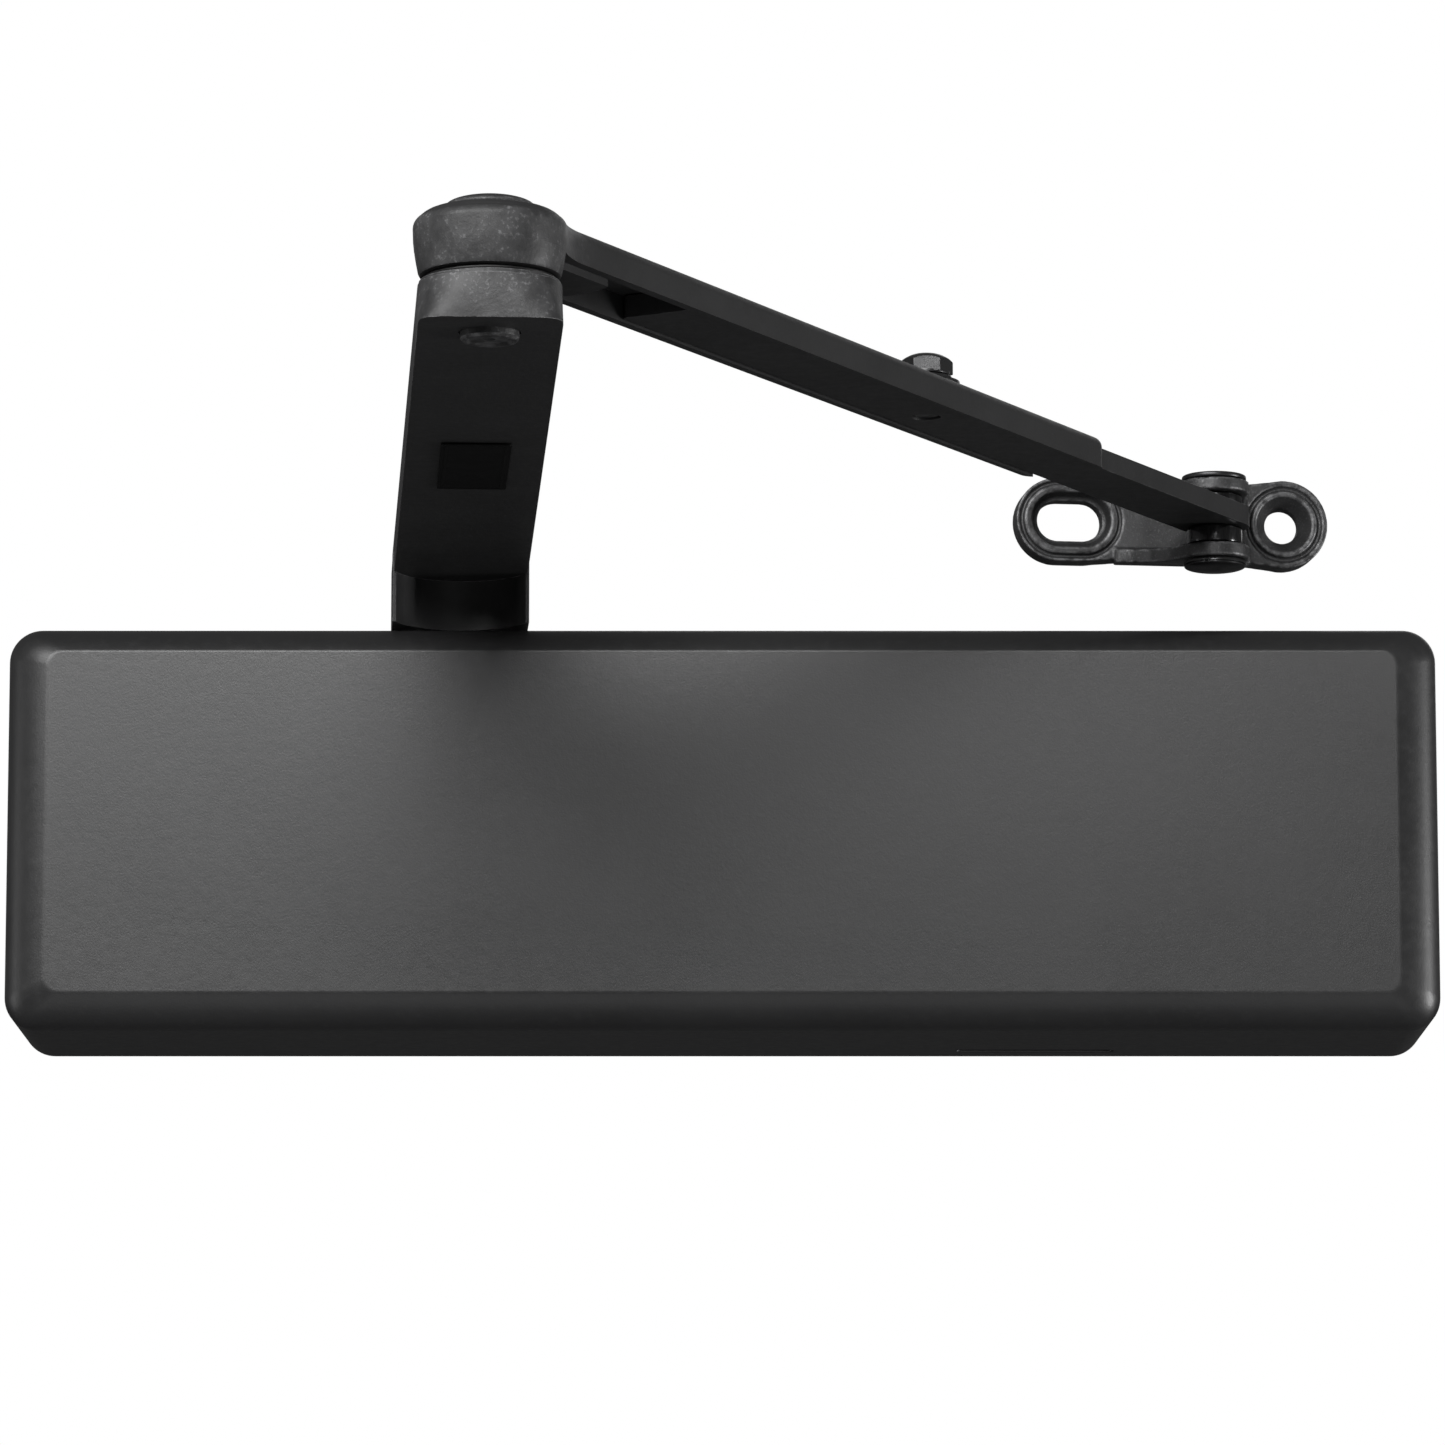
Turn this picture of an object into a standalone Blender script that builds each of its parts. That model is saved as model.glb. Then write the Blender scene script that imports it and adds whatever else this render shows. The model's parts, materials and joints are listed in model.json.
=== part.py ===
"""Surface-mounted door closer with a regular double-lever arm.

Metres, +Z up.  The origin is the middle of the closer body's rear face, on the
plane of the door: +X runs along the door, -Y points out of the door.
Every moving piece hangs from an empty that stands on its joint's axis.
"""
import bpy
import bmesh
from math import acos, cos, inf, pi, radians, sin, tan
from mathutils import Matrix, Vector

MM = 0.001

# ---------------------------------------------------------------- driving sizes
# Cover
COVER_LENGTH = 330.0 * MM
COVER_HEIGHT = 93.3 * MM
COVER_DEPTH = 57.0 * MM
COVER_WALL = 2.5 * MM
COVER_END_ROUNDING = 10.0 * MM
COVER_TOP_ROUNDING = 6.3 * MM
COVER_BOTTOM_ROUNDING = 8.4 * MM
COVER_FRONT_ROUNDING_DEPTH = 8.0 * MM
COVER_CORNER_RADIUS = 9.0 * MM
COVER_DOOR_GAP = 0.5 * MM
SPINDLE_NOTCH_WIDTH = 30.0 * MM
CATCH_SLOT_LENGTH = 36.6 * MM
CATCH_SLOT_WIDTH = 4.8 * MM
CATCH_SLOT_CENTRE = 73.3 * MM
CATCH_SLOT_FROM_DOOR = 10.9 * MM

# Closer body
SPINDLE_FROM_MIDDLE = 62.0 * MM
BARREL_FROM_DOOR = 3.5 * MM
BARREL_FROM_COVER_END = 25.0 * MM
BORE_RADIUS = 19.0 * MM
BARREL_WALL = 4.5 * MM
MOUNTING_HOLE_FROM_END = 12.6 * MM
MOUNTING_HOLES_HEIGHT = 19.05 * MM
MOUNTING_HOLE_RADIUS = 3.6 * MM
FOOT_LENGTH = 30.0 * MM
FOOT_HEIGHT = 44.0 * MM
FOOT_THICKNESS = 9.0 * MM
SADDLE_HEIGHT = 26.0 * MM
SPINDLE_BOSS_RADIUS = 19.0 * MM
SPINDLE_BOSS_TOP = 40.0 * MM
SPINDLE_BOSS_BOTTOM = 37.0 * MM
BEARING_HOLE_RADIUS = 13.5 * MM

# Rack and pinion
GEAR_MODULE = 1.5 * MM
PINION_TEETH = 12
PRESSURE_ANGLE = radians(20.0)
PINION_FACE_HALF = 9.0 * MM
SPINDLE_SWING = radians(165.0)
PISTON_END_WALL = 14.0 * MM
STEM_RADIUS = 6.8 * MM
JOURNAL_RADIUS = 9.0 * MM
SQUARE_SIDE = 12.0 * MM

# Spring and its adjuster
SPRING_WIRE_RADIUS = 2.6 * MM
SPRING_BORE_GAP = 1.8 * MM
SPRING_TURNS = 10
SPRING_SEAT_THICKNESS = 6.0 * MM
SPRING_SEAT_FROM_CAP = 9.0 * MM
ADJUSTER_RADIUS = 5.0 * MM

# Speed valves
VALVE_RADIUS = 3.0 * MM
VALVE_LENGTH = 16.0 * MM
VALVE_SPACING = 12.0 * MM
VALVE_CHEST_FROM_END = 9.0 * MM

# Main arm
ARM_LENGTH = 283.5 * MM
ARM_HUB_WIDTH = 31.6 * MM
ARM_ELBOW_WIDTH = 28.7 * MM
ARM_BAR_BOTTOM = 59.65 * MM
ARM_BAR_TOP = 68.9 * MM
ARM_KNUCKLE_TOP = 69.75 * MM
ARM_HUB_BOTTOM = 47.95 * MM
ARM_HUB_REACH = 27.0 * MM
ARM_HUB_SCOOP = 11.5 * MM
ARM_END_OVERHANG = 14.6 * MM
ARM_REST_YAW = radians(3.23)

# Elbow
ELBOW_REST_TURN = radians(-32.6)
ELBOW_PIN_RADIUS = 5.9 * MM
ELBOW_PIN_BOTTOM = 57.9 * MM
ELBOW_WASHER_THICKNESS = 0.6 * MM
ELBOW_CAP_RADIUS = 9.0 * MM
ELBOW_CAP_TOP = 87.1 * MM
KNUCKLE_BOTTOM_RADIUS = 14.1 * MM
KNUCKLE_TOP_RADIUS = 15.4 * MM
KNUCKLE_TOP = 84.2 * MM

# Forearm and its rod
FOREARM_LENGTH = 254.0 * MM
FOREARM_ELBOW_WALL = 2.45 * MM
FOREARM_END_WALL = 1.55 * MM
FOREARM_BOTTOM = 75.85 * MM
FOREARM_TOP = 82.95 * MM
FOREARM_WEB = 1.6 * MM
CHANNEL_START = 24.0 * MM
PIN_TO_PIN = 330.5 * MM
ROD_WIDTH = 16.5 * MM
ROD_THICKNESS = 4.7 * MM
ROD_TAIL = 264.5 * MM
ROD_TRAVEL_IN = 35.0 * MM
ROD_TRAVEL_OUT = 45.0 * MM
CLAMP_FROM_ELBOW = 185.0 * MM
CLAMP_SHANK_RADIUS = 3.0 * MM
CLAMP_HEX_RADIUS = 5.9 * MM
CLAMP_HEX_HEIGHT = 4.8 * MM
CLAMP_WASHER_RADIUS = 7.4 * MM
CLAMP_WASHER_THICKNESS = 2.1 * MM

# Shoe
SHOE_REST_TURN = radians(36.4)
SHOE_BACK = 22.0 * MM
SHOE_PLATE_THICKNESS = 6.5 * MM
SHOE_PLATE_MIDDLE = 80.55 * MM
SHOE_HOLE_FROM_PIN = 19.8 * MM
SHOE_HOLE_SPACING = 51.4 * MM
SHOE_HOLE_RADIUS = 4.1 * MM
SHOE_SLOT_LENGTH = 15.6 * MM
SHOE_SLOT_WIDTH = 9.6 * MM
SHOE_ROUND_LOBE_RADIUS = 10.6 * MM
SHOE_SLOT_LOBE_RADIUS = 10.1 * MM
SHOE_WAIST_HALF_HEIGHT = 8.6 * MM
EAR_RADIUS = 8.2 * MM
UPPER_EAR_THICKNESS = 2.9 * MM
LOWER_EAR_THICKNESS = 3.3 * MM
BUSHING_HEIGHT = 2.5 * MM
LOWER_BUSHING_HEIGHT = 4.05 * MM
BUSHING_RADIUS = 6.5 * MM
SHOE_PIN_RADIUS = 4.0 * MM
SHOE_PIN_HEAD_RADIUS = 7.3 * MM
SHOE_PIN_HEAD_HEIGHT = 2.3 * MM

# Arm screw and label
ARM_SCREW_RADIUS = 3.2 * MM
ARM_SCREW_HEAD_HEIGHT = 4.0 * MM
SPINDLE_TIP_UNDER_ARM = 2.0 * MM
LABEL_SIZE = (15.0 * MM, 48.0 * MM, 0.35 * MM)
LABEL_FROM_SPINDLE = 152.0 * MM

# Named clearances
FIT_GAP = 0.3 * MM
TOOTH_GAP = 0.15 * MM
FOOT_GAP = 1.5 * MM

# ------------------------------------------------------------- worked-out sizes
BARREL_HALF = COVER_LENGTH / 2 - BARREL_FROM_COVER_END
MOUNTING_HOLE_X = COVER_LENGTH / 2 - MOUNTING_HOLE_FROM_END
BARREL_RADIUS = BORE_RADIUS + BARREL_WALL
SPINDLE_FROM_DOOR = BARREL_RADIUS + BARREL_FROM_DOOR
SPRING_MEAN_RADIUS = BORE_RADIUS - SPRING_BORE_GAP - SPRING_WIRE_RADIUS
PITCH_RADIUS = GEAR_MODULE * PINION_TEETH / 2
PINION_OUTER = PITCH_RADIUS + GEAR_MODULE
TOOTH_PITCH = pi * GEAR_MODULE
PISTON_TRAVEL = PITCH_RADIUS * SPINDLE_SWING
END_CAP_PLUG = 14.0 * MM
END_CAP_FLANGE = 2.7 * MM
SEAT_RIGHT = BARREL_HALF - END_CAP_PLUG - SPRING_SEAT_FROM_CAP
SEAT_LEFT = SEAT_RIGHT - SPRING_SEAT_THICKNESS
PISTON_LEFT = -BARREL_HALF + END_CAP_PLUG + FIT_GAP
SLOT_LEFT = -SPINDLE_FROM_MIDDLE - PISTON_TRAVEL - PINION_OUTER - 2 * FIT_GAP
SLOT_RIGHT = -SPINDLE_FROM_MIDDLE + PINION_OUTER + 2 * FIT_GAP
PISTON_RIGHT = SLOT_RIGHT + PISTON_END_WALL
SPINDLE_X = -SPINDLE_FROM_MIDDLE
SPINDLE_Y = -SPINDLE_FROM_DOOR
ROD_TOP = FOREARM_TOP - FOREARM_WEB - FIT_GAP
ROD_BOTTOM = ROD_TOP - ROD_THICKNESS
UPPER_EAR_BOTTOM = ROD_TOP + BUSHING_HEIGHT + 2 * FIT_GAP
LOWER_EAR_TOP = ROD_BOTTOM - LOWER_BUSHING_HEIGHT - 2 * FIT_GAP
UPPER_EAR_TOP = UPPER_EAR_BOTTOM + UPPER_EAR_THICKNESS
LOWER_EAR_BOTTOM = LOWER_EAR_TOP - LOWER_EAR_THICKNESS
FOOT_OUTER = COVER_LENGTH / 2 - COVER_WALL - FOOT_GAP
VALVE_NAMES = ("latch_valve", "sweep_valve", "backcheck_valve")
CHEST_LEFT = -BARREL_HALF + VALVE_CHEST_FROM_END
CHEST_RIGHT = CHEST_LEFT + VALVE_SPACING * (len(VALVE_NAMES) + 0.3)
CHEST_FRONT = SPINDLE_Y - BORE_RADIUS
CHEST_BOTTOM = -BARREL_RADIUS - 4 * VALVE_RADIUS - 2.0 * MM
VALVE_Z = -BARREL_RADIUS - 2 * VALVE_RADIUS
ROUND_STEPS = 32

# -------------------------------------------------------------------- the scene
for old in list(bpy.data.objects):
    bpy.data.objects.remove(old, do_unlink=True)

PARTS = bpy.data.collections.new("door_closer")
CUTTERS = bpy.data.collections.new("door_closer_cutters")
for collection in (PARTS, CUTTERS):
    bpy.context.scene.collection.children.link(collection)


def finish(name, colour, metallic, roughness):
    """One Principled material."""
    made = bpy.data.materials.new(name)
    made.use_nodes = True
    shader = made.node_tree.nodes["Principled BSDF"]
    shader.inputs["Base Color"].default_value = (*colour, 1.0)
    shader.inputs["Metallic"].default_value = metallic
    shader.inputs["Roughness"].default_value = roughness
    return made


BLACK_PLASTIC = ("black_plastic", (0.035, 0.035, 0.036), 0.0, 0.5)
BLACK_PAINT = ("black_paint", (0.018, 0.018, 0.019), 0.2, 0.45)
CAST_SHOE = ("cast_shoe", (0.045, 0.045, 0.048), 0.7, 0.5)
CAST_BODY = ("cast_body", (0.12, 0.12, 0.125), 0.8, 0.5)
STEEL = ("steel", (0.45, 0.45, 0.46), 1.0, 0.3)
SPRING_STEEL = ("spring_steel", (0.16, 0.17, 0.2), 1.0, 0.35)
BRASS = ("brass", (0.65, 0.48, 0.2), 1.0, 0.3)
RUBBER = ("rubber", (0.01, 0.01, 0.01), 0.0, 0.8)
LABEL = ("label", (0.005, 0.005, 0.005), 0.0, 0.35)


def frame(name, location, turn, parent=None):
    """An empty on a joint's axis, turned about +Z."""
    empty = bpy.data.objects.new(name, None)
    empty.location = location
    empty.rotation_euler = (0.0, 0.0, turn)
    empty.parent = parent
    empty.empty_display_size = 0.02
    PARTS.objects.link(empty)
    return empty


def place(name, mesh, look=None, parent=None):
    """An object for a mesh: a sub-part if it has a look, otherwise a cutter."""
    made = bpy.data.objects.new(name, mesh)
    made.parent = parent
    if look is None:
        made.hide_render = True
        made.display_type = "WIRE"
        CUTTERS.objects.link(made)
        return made
    mesh.materials.clear()
    mesh.materials.append(finish(name + "_" + look[0], *look[1:]))
    PARTS.objects.link(made)
    return made


def shade(made, angle=35.0):
    """Round faces smooth, corners sharp."""
    made.data.shade_smooth()
    made.data.set_sharp_from_angle(angle=radians(angle))
    return made


# ----------------------------------------------------------------- outline tools
def arc(centre, radius, start, end, steps):
    """Points on an arc, angles in degrees."""
    points = []
    for step in range(steps + 1):
        angle = radians(start + (end - start) * step / steps)
        points.append((centre[0] + radius * cos(angle), centre[1] + radius * sin(angle)))
    return points


def circle(centre, radius, steps=ROUND_STEPS):
    """A full circle without a repeated point."""
    return arc(centre, radius, 0.0, 360.0, steps)[:-1]


def stadium(centre, length, width, steps=12):
    """A slot outline that lies along the first axis."""
    reach = (length - width) / 2
    right = arc((centre[0] + reach, centre[1]), width / 2, -90.0, 90.0, steps)
    left = arc((centre[0] - reach, centre[1]), width / 2, 90.0, 270.0, steps)
    return right + left


# -------------------------------------------------------------------- mesh tools
def weld(mesh):
    """Join the loose caps that a filled curve leaves."""
    work = bmesh.new()
    work.from_mesh(mesh)
    bmesh.ops.remove_doubles(work, verts=work.verts, dist=0.000001)
    bmesh.ops.recalc_face_normals(work, faces=work.faces)
    work.to_mesh(mesh)
    work.free()


def curve_mesh(name, curve):
    """The evaluated curve as a welded mesh."""
    source = bpy.data.objects.new(name, curve)
    CUTTERS.objects.link(source)
    graph = bpy.context.evaluated_depsgraph_get()
    mesh = bpy.data.meshes.new_from_object(source.evaluated_get(graph))
    bpy.data.objects.remove(source, do_unlink=True)
    weld(mesh)
    return mesh


def plate_mesh(name, outlines, low, high):
    """A flat outline with its holes, from height low to high."""
    curve = bpy.data.curves.new(name, "CURVE")
    curve.dimensions = "2D"
    curve.fill_mode = "BOTH"
    curve.extrude = (high - low) / 2
    for outline in outlines:
        spline = curve.splines.new("POLY")
        spline.points.add(len(outline) - 1)
        for point, (across, along) in zip(spline.points, outline):
            point.co = (across, along, 0.0, 1.0)
        spline.use_cyclic_u = True
    mesh = curve_mesh(name, curve)
    mesh.transform(Matrix.Translation((0.0, 0.0, (low + high) / 2)))
    return mesh


def upright(mesh):
    """Stand a plate up: its outline's second axis becomes +Z, its height becomes -Y."""
    mesh.transform(Matrix.Rotation(radians(90.0), 4, "X"))
    return mesh


def cylinder_mesh(name, radius, low, high, top_radius=None, steps=ROUND_STEPS, axis="Z"):
    """A capped cylinder or cone between two places on an axis."""
    work = bmesh.new()
    bmesh.ops.create_cone(
        work, cap_ends=True, segments=steps, radius1=radius,
        radius2=radius if top_radius is None else top_radius, depth=high - low,
        matrix=Matrix.Translation((0.0, 0.0, (low + high) / 2)))
    mesh = bpy.data.meshes.new(name)
    work.to_mesh(mesh)
    work.free()
    if axis == "X":
        mesh.transform(Matrix.Rotation(radians(90.0), 4, "Y"))
    if axis == "Y":
        mesh.transform(Matrix.Rotation(radians(-90.0), 4, "X"))
    return mesh


def box_mesh(name, low, high):
    """A box between two corners."""
    size = Vector(high) - Vector(low)
    middle = (Vector(high) + Vector(low)) / 2
    work = bmesh.new()
    bmesh.ops.create_cube(work, size=1.0)
    mesh = bpy.data.meshes.new(name)
    work.to_mesh(mesh)
    work.free()
    mesh.transform(Matrix.Translation(middle) @ Matrix.Diagonal((*size, 1.0)))
    return mesh


def moved(mesh, offset):
    """The same mesh, shifted."""
    mesh.transform(Matrix.Translation(offset))
    return mesh


def turned(name, profile, look, parent=None, closed=False, steps=ROUND_STEPS):
    """A turned piece: (radius, height) points that run down the outer side."""
    mesh = bpy.data.meshes.new(name)
    edges = [(index, index + 1) for index in range(len(profile) - 1)]
    if closed:
        edges.append((len(profile) - 1, 0))
    mesh.from_pydata([(radius, 0.0, height) for radius, height in profile], edges, [])
    made = place(name, mesh, look, parent)
    screw = made.modifiers.new("turn", "SCREW")
    screw.steps = steps
    screw.render_steps = steps
    screw.use_merge_vertices = True
    screw.merge_threshold = 0.00001
    return made


def ring(name, inner, outer, low, high, look, parent=None, steps=ROUND_STEPS):
    """A washer, bush or seal."""
    profile = [(inner, high), (outer, high), (outer, low), (inner, low)]
    return turned(name, profile, look, parent, closed=True, steps=steps)


def lay(made, axis):
    """Turn a piece made about +Z so that its top points along +X, -X or -Y."""
    turns = {"X": (0.0, radians(90.0), 0.0), "-X": (0.0, radians(-90.0), 0.0),
             "-Y": (radians(90.0), 0.0, 0.0)}
    made.rotation_euler = turns[axis]
    return made


def combine(made, mesh, operation, name):
    """Join or cut with a hidden helper that shares the piece's frame."""
    helper = place(name, mesh, None, made.parent)
    step = made.modifiers.new(name, "BOOLEAN")
    step.operation = operation
    step.solver = "EXACT"
    step.object = helper
    return made


def join(made, mesh, name):
    """Boolean union."""
    return combine(made, mesh, "UNION", made.name + "_" + name)


def cut(made, mesh, name):
    """Boolean difference."""
    return combine(made, mesh, "DIFFERENCE", made.name + "_" + name)


# ------------------------------------------------------------------------- cover
def ease(value, reach, wanted, uniform):
    """Stretch the rounded band of one side from the bevel's width to the wanted one."""
    inner = reach - uniform
    if value > inner:
        return reach - (reach - value) * wanted / uniform
    return value * (reach - wanted) / inner


def cover_shell_mesh():
    """The cover's outer skin: a box without a back, all other edges rounded."""
    half = COVER_LENGTH / 2
    high = COVER_HEIGHT / 2
    uniform = 0.6 * COVER_CORNER_RADIUS
    work = bmesh.new()
    bmesh.ops.create_cube(work, size=1.0)
    for vertex in work.verts:
        vertex.co.x *= COVER_LENGTH
        vertex.co.y = -COVER_DEPTH if vertex.co.y < 0 else -COVER_DOOR_GAP
        vertex.co.z *= COVER_HEIGHT
    along = [edge for edge in work.edges
             if abs(edge.verts[0].co.y - edge.verts[1].co.y) > COVER_CORNER_RADIUS]
    bmesh.ops.bevel(work, geom=along, offset=COVER_CORNER_RADIUS, segments=5, affect="EDGES",
                    profile=0.5)
    front = [edge for edge in work.edges
             if all(vertex.co.y < -COVER_DEPTH + 0.00001 for vertex in edge.verts)]
    bmesh.ops.bevel(work, geom=front, offset=uniform, segments=5, affect="EDGES", profile=0.5)
    back = [face for face in work.faces
            if all(vertex.co.y > -COVER_DOOR_GAP - 0.00001 for vertex in face.verts)]
    bmesh.ops.delete(work, geom=back, context="FACES")
    for vertex in work.verts:
        side = 1.0 if vertex.co.x > 0 else -1.0
        level = 1.0 if vertex.co.z > 0 else -1.0
        edge_rounding = COVER_TOP_ROUNDING if level > 0 else COVER_BOTTOM_ROUNDING
        vertex.co.x = side * ease(abs(vertex.co.x), half, COVER_END_ROUNDING, uniform)
        vertex.co.z = level * ease(abs(vertex.co.z), high, edge_rounding, uniform)
        if vertex.co.y < uniform - COVER_DEPTH:
            share = COVER_FRONT_ROUNDING_DEPTH / uniform
            vertex.co.y = (vertex.co.y + COVER_DEPTH) * share - COVER_DEPTH
    bmesh.ops.recalc_face_normals(work, faces=work.faces)
    mesh = bpy.data.meshes.new("cover")
    work.to_mesh(mesh)
    work.free()
    return mesh


def build_cover():
    """Moulded cover with the spindle's notch and the catch slot."""
    cover = place("cover", cover_shell_mesh(), BLACK_PLASTIC, COVER_FRAME)
    wall = cover.modifiers.new("wall", "SOLIDIFY")
    wall.thickness = COVER_WALL
    wall.offset = -1.0
    wall.use_even_offset = True
    radius = SPINDLE_NOTCH_WIDTH / 2
    notch = arc((SPINDLE_X, SPINDLE_Y), radius, 180.0, 360.0, 16)
    notch += [(SPINDLE_X + radius, radius), (SPINDLE_X - radius, radius)]
    top = COVER_HEIGHT / 2
    cut(cover, plate_mesh("notch", [notch], top - 2 * COVER_WALL, top + COVER_WALL), "notch")
    slot_low = (CATCH_SLOT_CENTRE - CATCH_SLOT_LENGTH / 2,
                -CATCH_SLOT_FROM_DOOR - CATCH_SLOT_WIDTH / 2, -top - COVER_WALL)
    slot_high = (CATCH_SLOT_CENTRE + CATCH_SLOT_LENGTH / 2,
                 -CATCH_SLOT_FROM_DOOR + CATCH_SLOT_WIDTH / 2, -top + 2 * COVER_WALL)
    cut(cover, box_mesh("slot", slot_low, slot_high), "slot")
    return shade(cover)


def build_cover_clips():
    """Bent leaf springs on the feet that grip the cover's ends."""
    thickness = 0.9 * MM
    half_height = 4.0 * MM
    reach = 24.0 * MM
    outer = COVER_LENGTH / 2 - COVER_WALL - FIT_GAP
    inner = outer - 14.0 * MM
    base = -FOOT_THICKNESS - FIT_GAP
    for side, name in ((1.0, "cover_clip_right"), (-1.0, "cover_clip_left")):
        outline = [(side * inner, base), (side * outer, base), (side * outer, base - reach),
                   (side * (outer - thickness), base - reach),
                   (side * (outer - thickness), base - thickness), (side * inner, base - thickness)]
        place(name, plate_mesh(name, [outline], -half_height, half_height), SPRING_STEEL)


# ------------------------------------------------------------------- closer body
def build_closer_body():
    """Casting: barrel, spindle boss, saddle, feet and valve chest, all bored."""
    axis = Vector((0.0, SPINDLE_Y, 0.0))
    body = place("closer_body", moved(
        cylinder_mesh("barrel", BARREL_RADIUS, -BARREL_HALF - FIT_GAP, BARREL_HALF + FIT_GAP,
                      axis="X"), axis), CAST_BODY)
    overlap = BARREL_RADIUS / 3
    saddle_half = BARREL_HALF - 4.0 * MM
    join(body, box_mesh("saddle", (-saddle_half, SPINDLE_Y + BORE_RADIUS + 1.0 * MM,
                                   -SADDLE_HEIGHT / 2),
                        (saddle_half, 0.0, SADDLE_HEIGHT / 2)), "saddle")
    for side in (-1.0, 1.0):
        ends = sorted((side * (FOOT_OUTER - FOOT_LENGTH), side * FOOT_OUTER))
        label = "right" if side > 0 else "left"
        join(body, box_mesh("foot", (ends[0], -FOOT_THICKNESS, -FOOT_HEIGHT / 2),
                            (ends[1], 0.0, FOOT_HEIGHT / 2)), "foot_" + label)
    boss = cylinder_mesh("boss", SPINDLE_BOSS_RADIUS, -SPINDLE_BOSS_BOTTOM, SPINDLE_BOSS_TOP)
    join(body, moved(boss, (SPINDLE_X, SPINDLE_Y, 0.0)), "boss")
    join(body, box_mesh("chest", (CHEST_LEFT, CHEST_FRONT, CHEST_BOTTOM),
                        (CHEST_RIGHT, SPINDLE_Y + overlap, -BORE_RADIUS - 1.0 * MM)), "chest")
    reach = BARREL_HALF + FOOT_LENGTH
    cut(body, moved(cylinder_mesh("bore", BORE_RADIUS, -reach, reach, axis="X"), axis), "bore")
    bearing = cylinder_mesh("bearing", BEARING_HOLE_RADIUS, -2 * SPINDLE_BOSS_BOTTOM,
                            2 * SPINDLE_BOSS_TOP)
    cut(body, moved(bearing, (SPINDLE_X, SPINDLE_Y, 0.0)), "bearing_hole")
    for side in (-1.0, 1.0):
        ends = sorted((side * BARREL_HALF, side * (BARREL_HALF + END_CAP_FLANGE + 2.0 * MM)))
        label = "right" if side > 0 else "left"
        recess = cylinder_mesh("recess", BARREL_RADIUS + 0.5 * MM, ends[0], ends[1], axis="X")
        cut(body, moved(recess, axis), "cap_recess_" + label)
    for index, name in enumerate(VALVE_NAMES):
        hole = cylinder_mesh(name, VALVE_RADIUS + FIT_GAP, 0.0, VALVE_LENGTH + 6.0 * MM, steps=24,
                             axis="Y")
        place_y = CHEST_FRONT - 4.0 * MM
        cut(body, moved(hole, (valve_x(index), place_y, VALVE_Z)), name + "_hole")
    for side in (-1.0, 1.0):
        for level in (-1.0, 1.0):
            hole = cylinder_mesh("hole", MOUNTING_HOLE_RADIUS, -2 * FOOT_THICKNESS,
                                 FOOT_THICKNESS, steps=24, axis="Y")
            label = ("right" if side > 0 else "left") + ("_upper" if level > 0 else "_lower")
            cut(body, moved(hole, (side * MOUNTING_HOLE_X, 0.0,
                                   level * MOUNTING_HOLES_HEIGHT / 2)), "mounting_" + label)
    return shade(body)


def valve_x(index):
    """Place of one valve along the chest."""
    return CHEST_LEFT + VALVE_SPACING * (index + 0.65)


def build_end_caps():
    """Screwed plugs that close the barrel, each with a seal in its groove."""
    plug = BORE_RADIUS - FIT_GAP
    groove = plug - 2.4 * MM
    groove_high = -5.0 * MM
    groove_low = -8.0 * MM
    flange = BARREL_RADIUS - 1.0 * MM
    for side, axis, label in ((-1.0, "-X", "left"), (1.0, "X", "right")):
        hole = ADJUSTER_RADIUS + FIT_GAP
        top = FIT_GAP + END_CAP_FLANGE
        outside = [(flange - 1.0 * MM, top), (flange, top - 1.0 * MM), (flange, FIT_GAP),
                   (plug, FIT_GAP), (plug, groove_high), (groove, groove_high),
                   (groove, groove_low), (plug, groove_low)]
        if label == "right":
            profile = [(hole, top)] + outside + [(plug, -END_CAP_PLUG), (hole, -END_CAP_PLUG)]
        else:
            profile = [(0.0, top)] + outside + [(plug, -END_CAP_PLUG), (0.0, -END_CAP_PLUG)]
        cap = turned("end_cap_" + label, profile, CAST_BODY, closed=label == "right")
        cap.location = (side * BARREL_HALF, SPINDLE_Y, 0.0)
        shade(lay(cap, axis))
        seal_radius = (groove_high - groove_low) / 2 - 2 * FIT_GAP
        middle = (groove_high + groove_low) / 2
        centre = groove + FIT_GAP + seal_radius
        section = [(centre + seal_radius * sin(angle), middle + seal_radius * cos(angle))
                   for angle in (radians(60.0 * step) for step in range(6))]
        seal = turned("end_seal_" + label, section, RUBBER, closed=True, steps=24)
        seal.location = cap.location
        shade(lay(seal, axis), 60.0)


def build_spindle_bearings():
    """Bushes, shaft seal and screwed rings that carry the spindle in its boss."""
    outer = BEARING_HOLE_RADIUS - FIT_GAP
    inner = JOURNAL_RADIUS + FIT_GAP
    bush_low = 21.0 * MM
    bush_high = 31.0 * MM
    seal_high = 35.0 * MM
    nut_high = SPINDLE_BOSS_TOP + 2.5 * MM
    pieces = [
        ("upper_bearing", inner, outer, bush_low, bush_high, BRASS),
        ("shaft_seal", inner, outer, bush_high + FIT_GAP, seal_high, RUBBER),
        ("spindle_nut", inner, outer, seal_high + FIT_GAP, nut_high, STEEL),
        ("lower_bearing", inner, outer, -bush_high, -bush_low, BRASS),
    ]
    for name, hole, radius, low, high, look in pieces:
        shade(ring(name, hole, radius, low, high, look, BODY_SPINDLE_FRAME, steps=24))
    flange = SPINDLE_BOSS_RADIUS - 2.0 * MM
    top = -bush_high - FIT_GAP
    bottom = -SPINDLE_BOSS_BOTTOM - FIT_GAP
    profile = [(0.0, top), (outer, top), (outer, bottom), (flange, bottom),
               (flange, bottom - 2.0 * MM), (flange - 1.0 * MM, bottom - 3.0 * MM),
               (0.0, bottom - 3.0 * MM)]
    shade(turned("lower_cap", profile, CAST_BODY, BODY_SPINDLE_FRAME, steps=24))


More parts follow.
